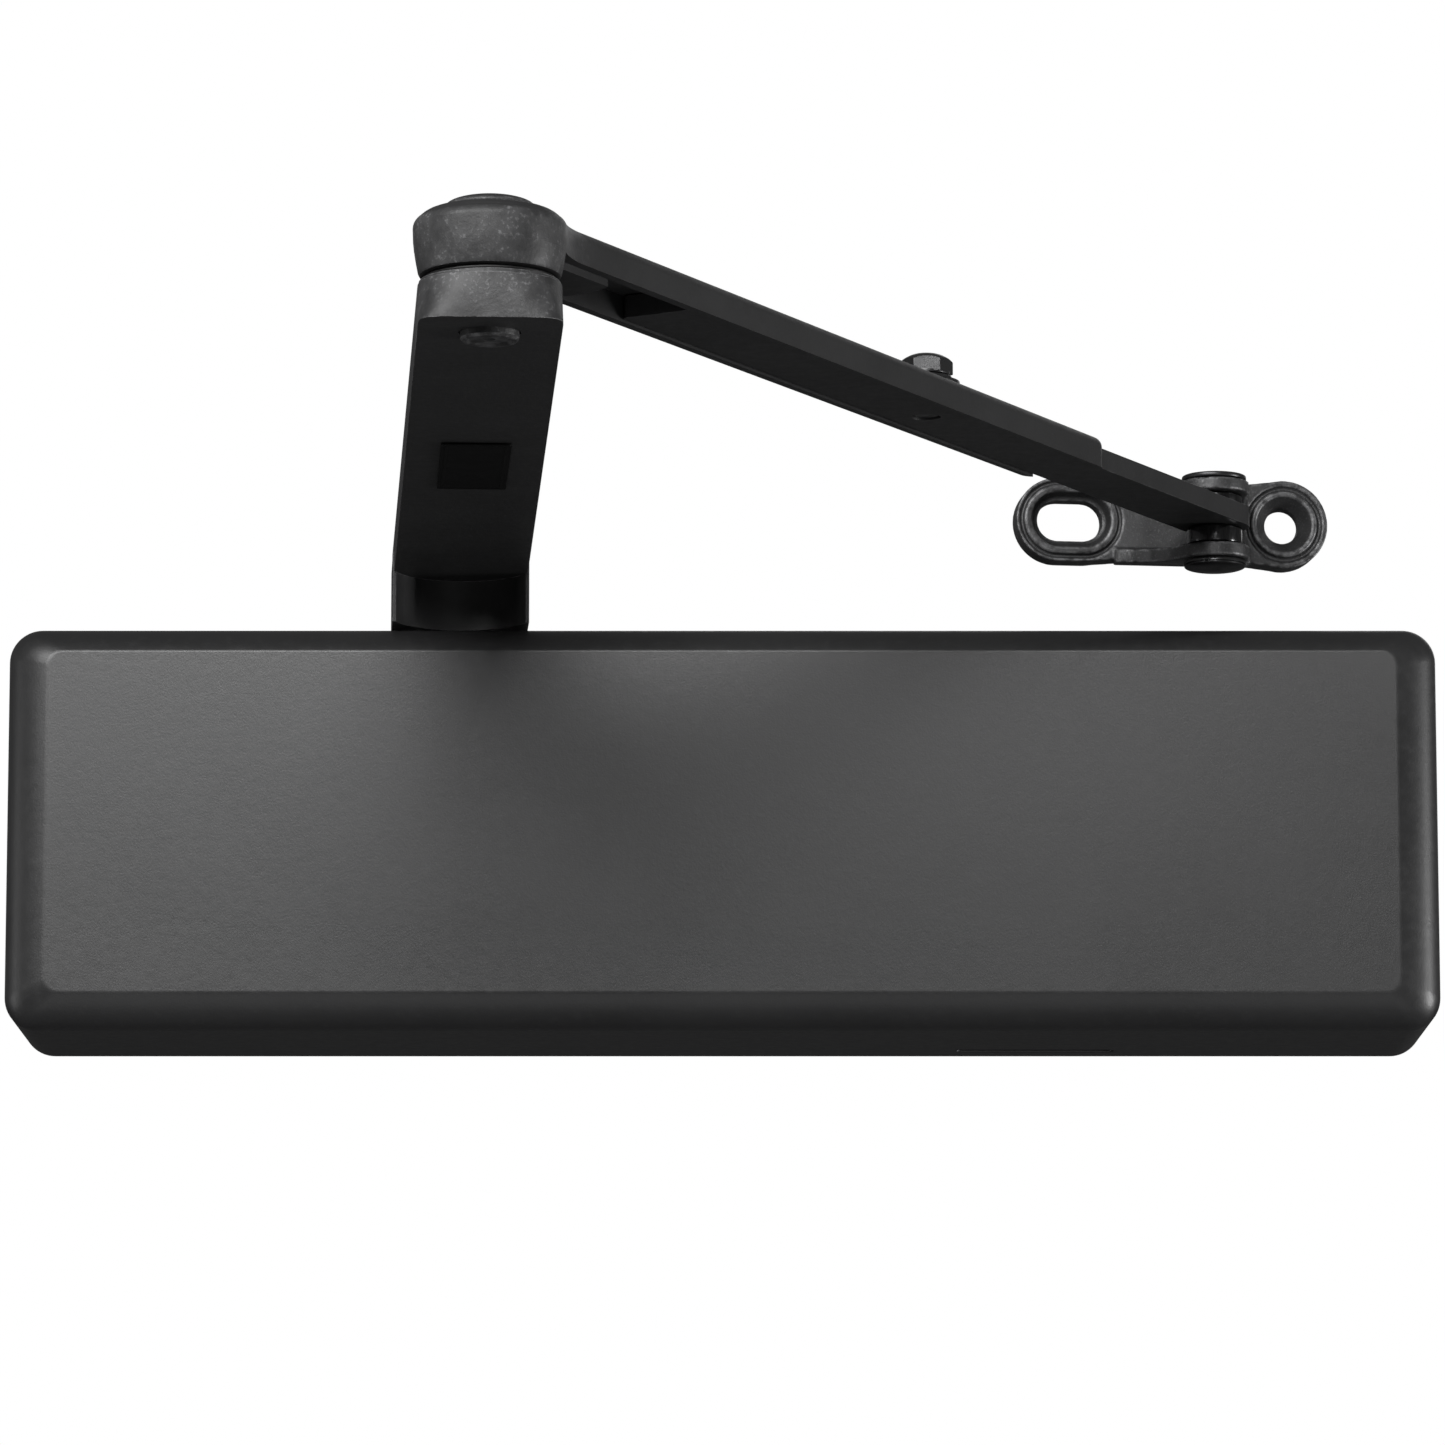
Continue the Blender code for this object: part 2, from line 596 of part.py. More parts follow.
# --------------------------------------------------------------- rack and pinion
def tooth_entry(angle, tooth_x, half_width, addendum):
    """How far out a ray first meets one rack tooth, or infinity.

    The rack lies below the pinion's centre: its pitch line at -PITCH_RADIUS.
    """
    across = cos(angle)
    up = sin(angle)
    if up >= 0.0:
        return inf
    slope = tan(PRESSURE_ANGLE)
    low = (PITCH_RADIUS - addendum) / -up
    high = inf
    room = half_width - PITCH_RADIUS * slope
    for rate, limit in ((across + slope * up, room + tooth_x), (-across + slope * up, room - tooth_x)):
        if rate > 0.0:
            high = min(high, limit / rate)
        elif rate < 0.0:
            low = max(low, limit / rate)
        elif limit < 0.0:
            return inf
    return low if low <= high else inf


def pinion_outline():
    """The pinion's teeth, generated by rolling a slightly fatter rack round it."""
    steps = 10
    half_width = TOOTH_PITCH / 4 + TOOTH_GAP
    addendum = GEAR_MODULE + TOOTH_GAP
    rolls = [radians(1.25 * index) for index in range(-36, 37)]
    radii = []
    for step in range(steps):
        local = 2 * pi / PINION_TEETH * step / steps - pi / 2
        reach = PINION_OUTER
        for roll in rolls:
            for tooth in (-1, 0, 1):
                tooth_x = tooth * TOOTH_PITCH + PITCH_RADIUS * roll
                reach = min(reach, tooth_entry(local + roll, tooth_x, half_width, addendum))
        radii.append(reach)
    outline = []
    for tooth in range(PINION_TEETH):
        for step, reach in enumerate(radii):
            angle = 2 * pi / PINION_TEETH * (tooth + step / steps) - pi / 2
            outline.append((reach * cos(angle), reach * sin(angle)))
    return outline


def rack_slot_outline():
    """The piston's slot, with the rack's teeth along its front side."""
    half_pitch_width = TOOTH_PITCH / 4 - TOOTH_GAP
    slope = tan(PRESSURE_ANGLE)
    root = -PITCH_RADIUS - GEAR_MODULE - FIT_GAP
    tip = -PITCH_RADIUS + GEAR_MODULE - TOOTH_GAP
    root_half = half_pitch_width + (-PITCH_RADIUS - root) * slope
    tip_half = half_pitch_width - (tip + PITCH_RADIUS) * slope
    left = SLOT_LEFT - SPINDLE_X
    right = SLOT_RIGHT - SPINDLE_X
    rear = PINION_OUTER + 2 * FIT_GAP
    points = [(right, rear), (left, rear), (left, root)]
    first = -int((-left - root_half) / TOOTH_PITCH)
    last = int((right - root_half) / TOOTH_PITCH)
    for tooth in range(first, last + 1):
        middle = tooth * TOOTH_PITCH
        points += [(middle - root_half, root), (middle - tip_half, tip)]
        points += [(middle + tip_half, tip), (middle + root_half, root)]
    points.append((right, root))
    return points


def build_piston():
    """Piston with its rack slot and a ring seal."""
    radius = BORE_RADIUS - FIT_GAP
    groove = radius - 2.2 * MM
    groove_left = 5.0 * MM
    groove_right = 9.0 * MM
    length = PISTON_RIGHT - PISTON_LEFT
    chamfer = 1.0 * MM
    profile = [(0.0, length), (radius - chamfer, length), (radius, length - chamfer),
               (radius, groove_right), (groove, groove_right), (groove, groove_left),
               (radius, groove_left), (radius, chamfer), (radius - chamfer, 0.0), (0.0, 0.0)]
    piston = turned("piston", profile, STEEL, PISTON_FRAME)
    piston.location = (PISTON_LEFT - SPINDLE_X, 0.0, 0.0)
    lay(piston, "X")
    slot = plate_mesh("slot", [rack_slot_outline()], -2 * BORE_RADIUS, 2 * BORE_RADIUS)
    cut(piston, slot, "rack_slot")
    shade(piston)
    seal = ring("piston_seal", groove + FIT_GAP, radius + FIT_GAP / 2, groove_left + FIT_GAP,
                groove_right - FIT_GAP, RUBBER, PISTON_FRAME)
    seal.location = piston.location
    shade(lay(seal, "X"))


def build_pinion():
    """Spindle: pinion teeth in the middle, journals, and a square for the arm."""
    shoulder = 20.0 * MM
    bottom = -30.5 * MM
    journal_top = ARM_HUB_BOTTOM - FIT_GAP
    tip = ARM_KNUCKLE_TOP - SPINDLE_TIP_UNDER_ARM
    profile = [(0.0, journal_top), (JOURNAL_RADIUS, journal_top), (JOURNAL_RADIUS, shoulder),
               (STEM_RADIUS, shoulder), (STEM_RADIUS, -shoulder), (JOURNAL_RADIUS, -shoulder),
               (JOURNAL_RADIUS, bottom), (0.0, bottom)]
    pinion = turned("pinion", profile, STEEL, SPINDLE_FRAME)
    teeth = plate_mesh("teeth", [pinion_outline()], -PINION_FACE_HALF, PINION_FACE_HALF)
    teeth.transform(Matrix.Rotation(-ARM_REST_YAW, 4, "Z"))
    join(pinion, teeth, "teeth")
    half = SQUARE_SIDE / 2
    join(pinion, box_mesh("square", (-half, -half, journal_top - 2.0 * MM), (half, half, tip)),
         "square")
    cut(pinion, cylinder_mesh("thread", ARM_SCREW_RADIUS + FIT_GAP, tip - 16.0 * MM, 2 * tip,
                              steps=24), "thread")
    return shade(pinion)


def build_spring():
    """Compression spring between the piston and its seat."""
    start = PISTON_RIGHT + FIT_GAP + SPRING_WIRE_RADIUS
    end = SEAT_LEFT - FIT_GAP - SPRING_WIRE_RADIUS
    closed_turns = 1.0
    close = 2.1 * SPRING_WIRE_RADIUS
    per_turn = 12
    count = SPRING_TURNS * per_turn
    curve = bpy.data.curves.new("main_spring", "CURVE")
    curve.dimensions = "3D"
    curve.bevel_depth = SPRING_WIRE_RADIUS
    curve.bevel_resolution = 2
    curve.use_fill_caps = True
    spline = curve.splines.new("POLY")
    spline.points.add(count)
    open_turns = SPRING_TURNS - 2 * closed_turns
    open_pitch = (end - start - 2 * close * closed_turns) / open_turns
    for index, point in enumerate(spline.points):
        turn = index / per_turn
        along = start + close * min(turn, closed_turns)
        along += open_pitch * min(max(turn - closed_turns, 0.0), open_turns)
        along += close * max(turn - closed_turns - open_turns, 0.0)
        angle = 2 * pi * turn
        point.co = (along, SPINDLE_Y + SPRING_MEAN_RADIUS * cos(angle),
                    SPRING_MEAN_RADIUS * sin(angle), 1.0)
    place("main_spring", curve_mesh("main_spring", curve), SPRING_STEEL)


def build_adjuster():
    """Spring seat and the screw that sets the spring's strength."""
    radius = BORE_RADIUS - FIT_GAP
    hole = ADJUSTER_RADIUS + FIT_GAP
    seat = ring("spring_seat", hole, radius, 0.0, SPRING_SEAT_THICKNESS, STEEL, SEAT_FRAME)
    shade(lay(seat, "X"))
    hex_radius = 7.0 * MM
    hex_height = 5.0 * MM
    head_low = BARREL_HALF + 2 * FIT_GAP + END_CAP_FLANGE
    tip = SEAT_LEFT - 8.0 * MM
    shank = cylinder_mesh("shank", ADJUSTER_RADIUS, tip, head_low + 1.0 * MM, steps=32, axis="X")
    screw = place("spring_adjuster", shank, STEEL, ADJUSTER_FRAME)
    head = cylinder_mesh("head", hex_radius, head_low, head_low + hex_height, steps=6, axis="X")
    join(screw, head, "head")
    shade(screw)


def build_valves():
    """Three slotted speed valves in the chest."""
    head_out = 2.0 * MM
    slot_half = 0.45 * MM
    for index, name in enumerate(VALVE_NAMES):
        chamfer = 0.5 * MM
        profile = [(0.0, head_out), (VALVE_RADIUS - chamfer, head_out),
                   (VALVE_RADIUS, head_out - chamfer), (VALVE_RADIUS, 4 * MM - VALVE_LENGTH),
                   (0.0, -VALVE_LENGTH)]
        valve = turned(name, profile, BRASS, VALVE_FRAMES[index], steps=16)
        lay(valve, "-Y")
        slot = box_mesh("slot", (-2 * VALVE_RADIUS, -2 * head_out, -slot_half),
                        (2 * VALVE_RADIUS, -head_out / 3, slot_half))
        cut(valve, slot, "slot")
        shade(valve)


# ---------------------------------------------------------------------- main arm
def arm_bar_outline():
    """Plan of the bar: round at the hub, squarish past the elbow."""
    hub = ARM_HUB_WIDTH / 2 - 0.2 * MM
    elbow = ARM_ELBOW_WIDTH / 2
    corner = 4.0 * MM
    end = -ARM_LENGTH - ARM_END_OVERHANG
    points = arc((0.0, 0.0), hub, 0.0, 180.0, 20)
    points += arc((-elbow + corner, end + corner), corner, 180.0, 270.0, 6)
    points += arc((elbow - corner, end + corner), corner, 270.0, 360.0, 6)
    return points


def arm_hub_outline():
    """Plan of the hub under the bar: its elbow side is scooped out."""
    half = ARM_HUB_WIDTH / 2
    lip = 0.8 * MM
    chord = half - lip
    radius = (chord ** 2 + ARM_HUB_SCOOP ** 2) / (2 * ARM_HUB_SCOOP)
    centre = -ARM_HUB_REACH + ARM_HUB_SCOOP - radius
    spread = 180.0 / pi * acos((-ARM_HUB_REACH - centre) / radius)
    points = arc((0.0, 0.0), half, 0.0, 180.0, 20)
    points.append((-half, -ARM_HUB_REACH))
    points += arc((0.0, centre), radius, 90.0 + spread, 90.0 - spread, 16)
    points.append((half, -ARM_HUB_REACH))
    return points


def build_main_arm():
    """Forged main arm with its hub and elbow knuckle."""
    bar = plate_mesh("bar", [arm_bar_outline()], ARM_BAR_BOTTOM, ARM_BAR_TOP)
    arm = place("main_arm", bar, BLACK_PAINT, SPINDLE_FRAME)
    inside = (ARM_BAR_BOTTOM + ARM_BAR_TOP) / 2
    join(arm, plate_mesh("hub", [arm_hub_outline()], ARM_HUB_BOTTOM, inside), "hub")
    knuckle = cylinder_mesh("knuckle", KNUCKLE_BOTTOM_RADIUS, inside, ARM_KNUCKLE_TOP)
    join(arm, moved(knuckle, (0.0, -ARM_LENGTH, 0.0)), "knuckle")
    half = SQUARE_SIDE / 2 + FIT_GAP
    square = box_mesh("square", (-half, -half, ARM_HUB_BOTTOM - 0.01), (half, half, ARM_BAR_TOP + 0.01))
    cut(arm, square, "square")
    pin_hole = cylinder_mesh("pin", ELBOW_PIN_RADIUS + FIT_GAP, ARM_HUB_BOTTOM, 2 * ARM_KNUCKLE_TOP)
    cut(arm, moved(pin_hole, (0.0, -ARM_LENGTH, 0.0)), "pin_hole")
    return shade(arm)


def build_arm_fasteners():
    """Screw and washer that hold the arm on the spindle, and the blank label."""
    washer_low = ARM_BAR_TOP + FIT_GAP
    washer_high = washer_low + 1.2 * MM
    shade(ring("arm_washer", ARM_SCREW_RADIUS + FIT_GAP, 9.0 * MM, washer_low, washer_high, STEEL,
               SPINDLE_FRAME, steps=24))
    head_low = washer_high + FIT_GAP
    tip = ARM_KNUCKLE_TOP - 14.0 * MM
    shank = cylinder_mesh("shank", ARM_SCREW_RADIUS, tip, head_low + 1.0 * MM, steps=24)
    screw = place("arm_screw", shank, STEEL, SPINDLE_FRAME)
    head = cylinder_mesh("head", 2 * ARM_SCREW_RADIUS, head_low, head_low + ARM_SCREW_HEAD_HEIGHT,
                         steps=6)
    join(screw, head, "head")
    shade(screw)
    across, along, thick = LABEL_SIZE
    top = ARM_BAR_BOTTOM - FIT_GAP
    low = (-across / 2, -LABEL_FROM_SPINDLE - along / 2, top - thick)
    high = (across / 2, -LABEL_FROM_SPINDLE + along / 2, top)
    place("arm_label", box_mesh("arm_label", low, high), LABEL, SPINDLE_FRAME)


def build_elbow():
    """Pivot pin, the thin washer between the arms and the cap on top."""
    cap_low = KNUCKLE_TOP + FIT_GAP
    chamfer = 0.8 * MM
    profile = [(0.0, cap_low - FIT_GAP), (ELBOW_PIN_RADIUS, cap_low - FIT_GAP),
               (ELBOW_PIN_RADIUS, ELBOW_PIN_BOTTOM + chamfer),
               (ELBOW_PIN_RADIUS - chamfer, ELBOW_PIN_BOTTOM), (0.0, ELBOW_PIN_BOTTOM)]
    shade(turned("elbow_pin", profile, BLACK_PAINT, ELBOW_PIN_FRAME))
    low = ARM_KNUCKLE_TOP + FIT_GAP / 2
    shade(ring("elbow_washer", ELBOW_PIN_RADIUS + FIT_GAP, KNUCKLE_BOTTOM_RADIUS - 0.8 * MM, low,
               low + ELBOW_WASHER_THICKNESS, STEEL, ELBOW_PIN_FRAME))
    dome = [(0.0, ELBOW_CAP_TOP)]
    height = ELBOW_CAP_TOP - cap_low - 0.6 * MM
    for step in range(1, 5):
        angle = radians(90.0 * step / 4)
        dome.append((ELBOW_CAP_RADIUS * sin(angle), ELBOW_CAP_TOP - height * (1.0 - cos(angle))))
    dome += [(ELBOW_CAP_RADIUS, cap_low), (0.0, cap_low)]
    shade(turned("elbow_cap", dome, BLACK_PAINT, ELBOW_PIN_FRAME), 60.0)


# ----------------------------------------------------------------------- forearm
def build_forearm():
    """Pressed channel with a round knuckle, open below and at its far end."""
    near = ROD_WIDTH / 2 + FIT_GAP + FOREARM_ELBOW_WALL
    far = ROD_WIDTH / 2 + FIT_GAP + FOREARM_END_WALL
    outline = [(-near, 0.0), (near, 0.0), (far, FOREARM_LENGTH), (-far, FOREARM_LENGTH)]
    forearm = place("forearm", plate_mesh("forearm", [outline], FOREARM_BOTTOM, FOREARM_TOP),
                    BLACK_PAINT, ELBOW_FRAME)
    low = ARM_KNUCKLE_TOP + FIT_GAP + ELBOW_WASHER_THICKNESS
    knuckle = cylinder_mesh("knuckle", KNUCKLE_BOTTOM_RADIUS, low, KNUCKLE_TOP,
                            top_radius=KNUCKLE_TOP_RADIUS)
    join(forearm, knuckle, "knuckle")
    half = ROD_WIDTH / 2 + FIT_GAP
    channel = box_mesh("channel", (-half, CHANNEL_START, FOREARM_BOTTOM - 0.01),
                       (half, 2 * FOREARM_LENGTH, ROD_TOP + FIT_GAP))
    cut(forearm, channel, "channel")
    pin_hole = cylinder_mesh("pin", ELBOW_PIN_RADIUS + FIT_GAP, low - 0.01, FOREARM_TOP + 0.01)
    cut(forearm, pin_hole, "pin_hole")
    slot_length = ROD_TRAVEL_IN + ROD_TRAVEL_OUT + 2 * (CLAMP_SHANK_RADIUS + FIT_GAP)
    middle = CLAMP_FROM_ELBOW + (ROD_TRAVEL_OUT - ROD_TRAVEL_IN) / 2
    slot = plate_mesh("slot", [stadium((0.0, 0.0), slot_length, 2 * (CLAMP_SHANK_RADIUS + FIT_GAP))],
                      FOREARM_TOP - 3 * FOREARM_WEB, FOREARM_TOP + 0.01)
    slot.transform(Matrix.Translation((0.0, middle, 0.0)) @ Matrix.Rotation(radians(90.0), 4, "Z"))
    cut(forearm, slot, "clamp_slot")
    return shade(forearm)


def build_rod():
    """Flat adjusting rod; its origin is the shoe's pin."""
    half = ROD_WIDTH / 2
    outline = arc((0.0, 0.0), half, 0.0, 180.0, 16) + [(-half, -ROD_TAIL), (half, -ROD_TAIL)]
    pin_hole = circle((0.0, 0.0), SHOE_PIN_RADIUS + FIT_GAP, 32)
    clamp_hole = circle((0.0, CLAMP_FROM_ELBOW - PIN_TO_PIN), CLAMP_SHANK_RADIUS + FIT_GAP / 2, 24)
    rod = place("rod", plate_mesh("rod", [outline, pin_hole, clamp_hole], ROD_BOTTOM, ROD_TOP),
                BLACK_PAINT, ROD_FRAME)
    return shade(rod)


def build_clamp():
    """Hex screw and washer that clamp the rod in the forearm."""
    washer_low = FOREARM_TOP + FIT_GAP
    washer_high = washer_low + CLAMP_WASHER_THICKNESS
    shade(ring("clamp_washer", CLAMP_SHANK_RADIUS + FIT_GAP, CLAMP_WASHER_RADIUS, washer_low,
               washer_high, STEEL, CLAMP_FRAME, steps=24))
    head_low = washer_high + FIT_GAP
    shank = cylinder_mesh("shank", CLAMP_SHANK_RADIUS, ROD_BOTTOM + 0.4 * MM, head_low + 1.0 * MM,
                          steps=24)
    screw = place("clamp_screw", shank, STEEL, CLAMP_FRAME)
    join(screw, cylinder_mesh("head", CLAMP_HEX_RADIUS, head_low, head_low + CLAMP_HEX_HEIGHT,
                              steps=6), "head")
    return shade(screw)


# -------------------------------------------------------------------------- shoe
def shoe_plate_outline():
    """Front view of the plate: a round lobe, a long lobe and a waist between."""
    right_x = SHOE_HOLE_FROM_PIN
    slot_x = SHOE_HOLE_FROM_PIN - SHOE_HOLE_SPACING
    reach = (SHOE_SLOT_LENGTH - SHOE_SLOT_WIDTH) / 2
    right = SHOE_ROUND_LOBE_RADIUS
    left = SHOE_SLOT_LOBE_RADIUS
    waist = SHOE_WAIST_HALF_HEIGHT
    outline = arc((right_x, 0.0), right, -100.0, 100.0, 20)
    outline.append((0.0, waist))
    outline += arc((slot_x + reach, 0.0), left, 75.0, 90.0, 2)
    outline += arc((slot_x - reach, 0.0), left, 90.0, 270.0, 18)
    outline += arc((slot_x + reach, 0.0), left, 270.0, 285.0, 2)
    outline.append((0.0, -waist))
    return outline


def ear_outline():
    """Plan of one ear: round at the pin, spreading into the plate."""
    root = SHOE_BACK - SHOE_PLATE_THICKNESS + 2.0 * MM
    left_root = -24.0 * MM
    right_root = 9.0 * MM
    points = arc((0.0, 0.0), EAR_RADIUS, -150.0, 0.0, 20)
    return points + [(right_root, root), (left_root, root)]


def build_shoe():
    """Cast bracket: plate with a screw hole and a slot, and two ears for the pin."""
    back = SHOE_BACK
    front = SHOE_BACK - SHOE_PLATE_THICKNESS
    slot_x = SHOE_HOLE_FROM_PIN - SHOE_HOLE_SPACING
    holes = [circle((SHOE_HOLE_FROM_PIN, 0.0), SHOE_HOLE_RADIUS, 32),
             stadium((slot_x, 0.0), SHOE_SLOT_LENGTH, SHOE_SLOT_WIDTH)]
    plate = upright(plate_mesh("shoe", [shoe_plate_outline()] + holes, -back, -front))
    shoe = place("shoe", moved(plate, (0.0, 0.0, SHOE_PLATE_MIDDLE)), CAST_SHOE, SHOE_FRAME)
    join(shoe, plate_mesh("upper", [ear_outline()], UPPER_EAR_BOTTOM, UPPER_EAR_TOP), "upper_ear")
    join(shoe, plate_mesh("lower", [ear_outline()], LOWER_EAR_BOTTOM, LOWER_EAR_TOP), "lower_ear")
    pin_hole = cylinder_mesh("pin", SHOE_PIN_RADIUS + FIT_GAP, LOWER_EAR_BOTTOM - 0.01,
                             UPPER_EAR_TOP + 0.01, steps=32)
    cut(shoe, pin_hole, "pin_hole")
    sink_depth = 3.0 * MM
    sink_wide = SHOE_HOLE_RADIUS + 2.6 * MM
    sink = cylinder_mesh("sink", sink_wide + 0.5 * MM, front - 0.5 * MM, front + sink_depth,
                         top_radius=SHOE_HOLE_RADIUS, steps=32, axis="Y")
    cut(shoe, moved(sink, (SHOE_HOLE_FROM_PIN, 0.0, SHOE_PLATE_MIDDLE)), "sink")
    long_sink = stadium((slot_x, 0.0), SHOE_SLOT_LENGTH + 3.2 * MM, SHOE_SLOT_WIDTH + 3.2 * MM)
    sink = upright(plate_mesh("long_sink", [long_sink], -front - sink_depth / 2, -front + 1.0 * MM))
    cut(shoe, moved(sink, (0.0, 0.0, SHOE_PLATE_MIDDLE)), "long_sink")
    return shade(shoe)


def build_shoe_pin():
    """Headed pin, its rivet washer and the two bushings beside the rod."""
    head_top = LOWER_EAR_BOTTOM - FIT_GAP
    head_low = head_top - SHOE_PIN_HEAD_HEIGHT
    chamfer = 1.2 * MM
    top = UPPER_EAR_TOP + 1.3 * MM
    profile = [(0.0, top), (SHOE_PIN_RADIUS, top), (SHOE_PIN_RADIUS, head_top),
               (SHOE_PIN_HEAD_RADIUS, head_top), (SHOE_PIN_HEAD_RADIUS, head_low + chamfer),
               (SHOE_PIN_HEAD_RADIUS - chamfer, head_low), (0.0, head_low)]
    shade(turned("shoe_pin", profile, STEEL, SHOE_FRAME))
    hole = SHOE_PIN_RADIUS + FIT_GAP
    low = UPPER_EAR_TOP + FIT_GAP
    pieces = [
        ("shoe_pin_ring", EAR_RADIUS - 0.6 * MM, low, low + 1.2 * MM),
        ("upper_bushing", BUSHING_RADIUS, ROD_TOP + FIT_GAP, UPPER_EAR_BOTTOM - FIT_GAP),
        ("lower_bushing", BUSHING_RADIUS, LOWER_EAR_TOP + FIT_GAP, ROD_BOTTOM - FIT_GAP),
    ]
    for name, radius, start, end in pieces:
        shade(ring(name, hole, radius, start, end, STEEL, SHOE_FRAME, steps=24))


# ------------------------------------------------------------------ joint frames
BARREL_PLACE = (SPINDLE_X, SPINDLE_Y, 0.0)
COVER_FRAME = frame("cover_frame", (0.0, 0.0, 0.0), 0.0)
BODY_SPINDLE_FRAME = frame("spindle_boss_frame", BARREL_PLACE, 0.0)
PISTON_FRAME = frame("piston_frame", BARREL_PLACE, 0.0)
SPINDLE_FRAME = frame("spindle_frame", BARREL_PLACE, ARM_REST_YAW)
SEAT_FRAME = frame("seat_frame", (SEAT_LEFT, SPINDLE_Y, 0.0), 0.0)
ADJUSTER_FRAME = frame("adjuster_frame", (0.0, SPINDLE_Y, 0.0), 0.0)
ELBOW_PIN_FRAME = frame("elbow_pin_frame", (0.0, -ARM_LENGTH, 0.0), 0.0, SPINDLE_FRAME)
ELBOW_FRAME = frame("elbow_frame", (0.0, -ARM_LENGTH, 0.0), ELBOW_REST_TURN, SPINDLE_FRAME)
ROD_FRAME = frame("rod_frame", (0.0, PIN_TO_PIN, 0.0), 0.0, ELBOW_FRAME)
CLAMP_FRAME = frame("clamp_frame", (0.0, CLAMP_FROM_ELBOW, 0.0), 0.0, ELBOW_FRAME)
SHOE_FRAME = frame("shoe_frame", (0.0, PIN_TO_PIN, 0.0), SHOE_REST_TURN, ELBOW_FRAME)
VALVE_FRAMES = [frame(name + "_frame", (valve_x(index), CHEST_FRONT, VALVE_Z), 0.0)
                for index, name in enumerate(VALVE_NAMES)]

build_closer_body()
build_end_caps()
build_spindle_bearings()
build_piston()
build_pinion()
build_spring()
build_adjuster()
build_valves()
build_cover()
build_cover_clips()
build_main_arm()
build_arm_fasteners()
build_elbow()
build_forearm()
build_rod()
build_clamp()
build_shoe()
build_shoe_pin()
bpy.context.view_layer.update()
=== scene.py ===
"""Looks of a surface-mounted door closer with a regular double-lever arm.

Every piece is built in the shared frame, in metres, and then rides on its body.
The door lies behind the plane y = 0; the arms reach out along -y.
"""

import json
from math import acos, atan2, cos, degrees, pi, radians, sin, sqrt

import bmesh
import bpy
from mathutils import Matrix, Vector


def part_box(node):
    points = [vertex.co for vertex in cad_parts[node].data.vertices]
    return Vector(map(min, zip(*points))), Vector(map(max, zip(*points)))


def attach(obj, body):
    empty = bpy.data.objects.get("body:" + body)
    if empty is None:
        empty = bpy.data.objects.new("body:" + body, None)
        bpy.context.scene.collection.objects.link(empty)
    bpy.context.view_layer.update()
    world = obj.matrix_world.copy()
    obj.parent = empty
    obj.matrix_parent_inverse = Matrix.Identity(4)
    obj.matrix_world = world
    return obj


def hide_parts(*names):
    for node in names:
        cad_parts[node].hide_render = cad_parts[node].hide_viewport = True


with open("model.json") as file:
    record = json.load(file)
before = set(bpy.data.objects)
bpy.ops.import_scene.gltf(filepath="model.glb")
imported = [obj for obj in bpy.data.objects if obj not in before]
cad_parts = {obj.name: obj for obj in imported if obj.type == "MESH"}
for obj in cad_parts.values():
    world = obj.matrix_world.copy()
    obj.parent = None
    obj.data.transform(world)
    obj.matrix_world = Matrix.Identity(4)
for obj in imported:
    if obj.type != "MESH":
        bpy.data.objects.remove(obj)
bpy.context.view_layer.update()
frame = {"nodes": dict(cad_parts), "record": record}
RECORD = frame["record"]
NODES = frame["nodes"]
BODY_OF = {node: body for body, nodes in RECORD["behaviour"]["bodies"].items() for node in nodes}
MM = 0.001


# ------------------------------------------------------------- places in the frame
def middle(node):
    """Centre of a node's box."""
    low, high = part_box(node)
    return (low + high) / 2


def heights(node):
    """Lowest and highest height of a node."""
    low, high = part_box(node)
    return low.z, high.z


def floor_of(node):
    """Lowest height of a node."""
    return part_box(node)[0].z


def top_of(node):
    """Highest height of a node."""
    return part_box(node)[1].z


def turn_to(direction):
    """Turn about +z that brings +y onto a direction."""
    return atan2(-direction[0], direction[1])


def stand(point, turn=0.0):
    """Placement of a piece built round the origin, standing on a vertical axis."""
    return Matrix.Translation((point.x, point.y, 0.0)) @ Matrix.Rotation(turn, 4, "Z")


SPINDLE_AXIS = middle("arm_washer")
ELBOW_AXIS = middle("elbow_cap")
SHOE_AXIS = middle("shoe_pin")
CLAMP_AXIS = middle("clamp_washer")
SHOE_FACING = RECORD["mounts"][1]["axis"]
AT_SPINDLE = stand(SPINDLE_AXIS, turn_to(SPINDLE_AXIS - ELBOW_AXIS))
AT_ELBOW = stand(ELBOW_AXIS, turn_to(SHOE_AXIS - ELBOW_AXIS))
AT_CLAMP = stand(CLAMP_AXIS, turn_to(SHOE_AXIS - ELBOW_AXIS))
AT_ROD_END = stand(SHOE_AXIS, turn_to(SHOE_AXIS - ELBOW_AXIS))
AT_SHOE = stand(SHOE_AXIS, turn_to(SHOE_FACING))
ARM_LENGTH = (SPINDLE_AXIS - ELBOW_AXIS).xy.length
FOREARM_REACH = (SHOE_AXIS - ELBOW_AXIS).xy.length
CLAMP_REACH = (CLAMP_AXIS - ELBOW_AXIS).xy.length
BARREL_Y = middle("end_cap_left").y
EASED_EDGE_AND_GLINT = "eased_edge_and_glint"
PIECE_GAP = 0.3 * MM


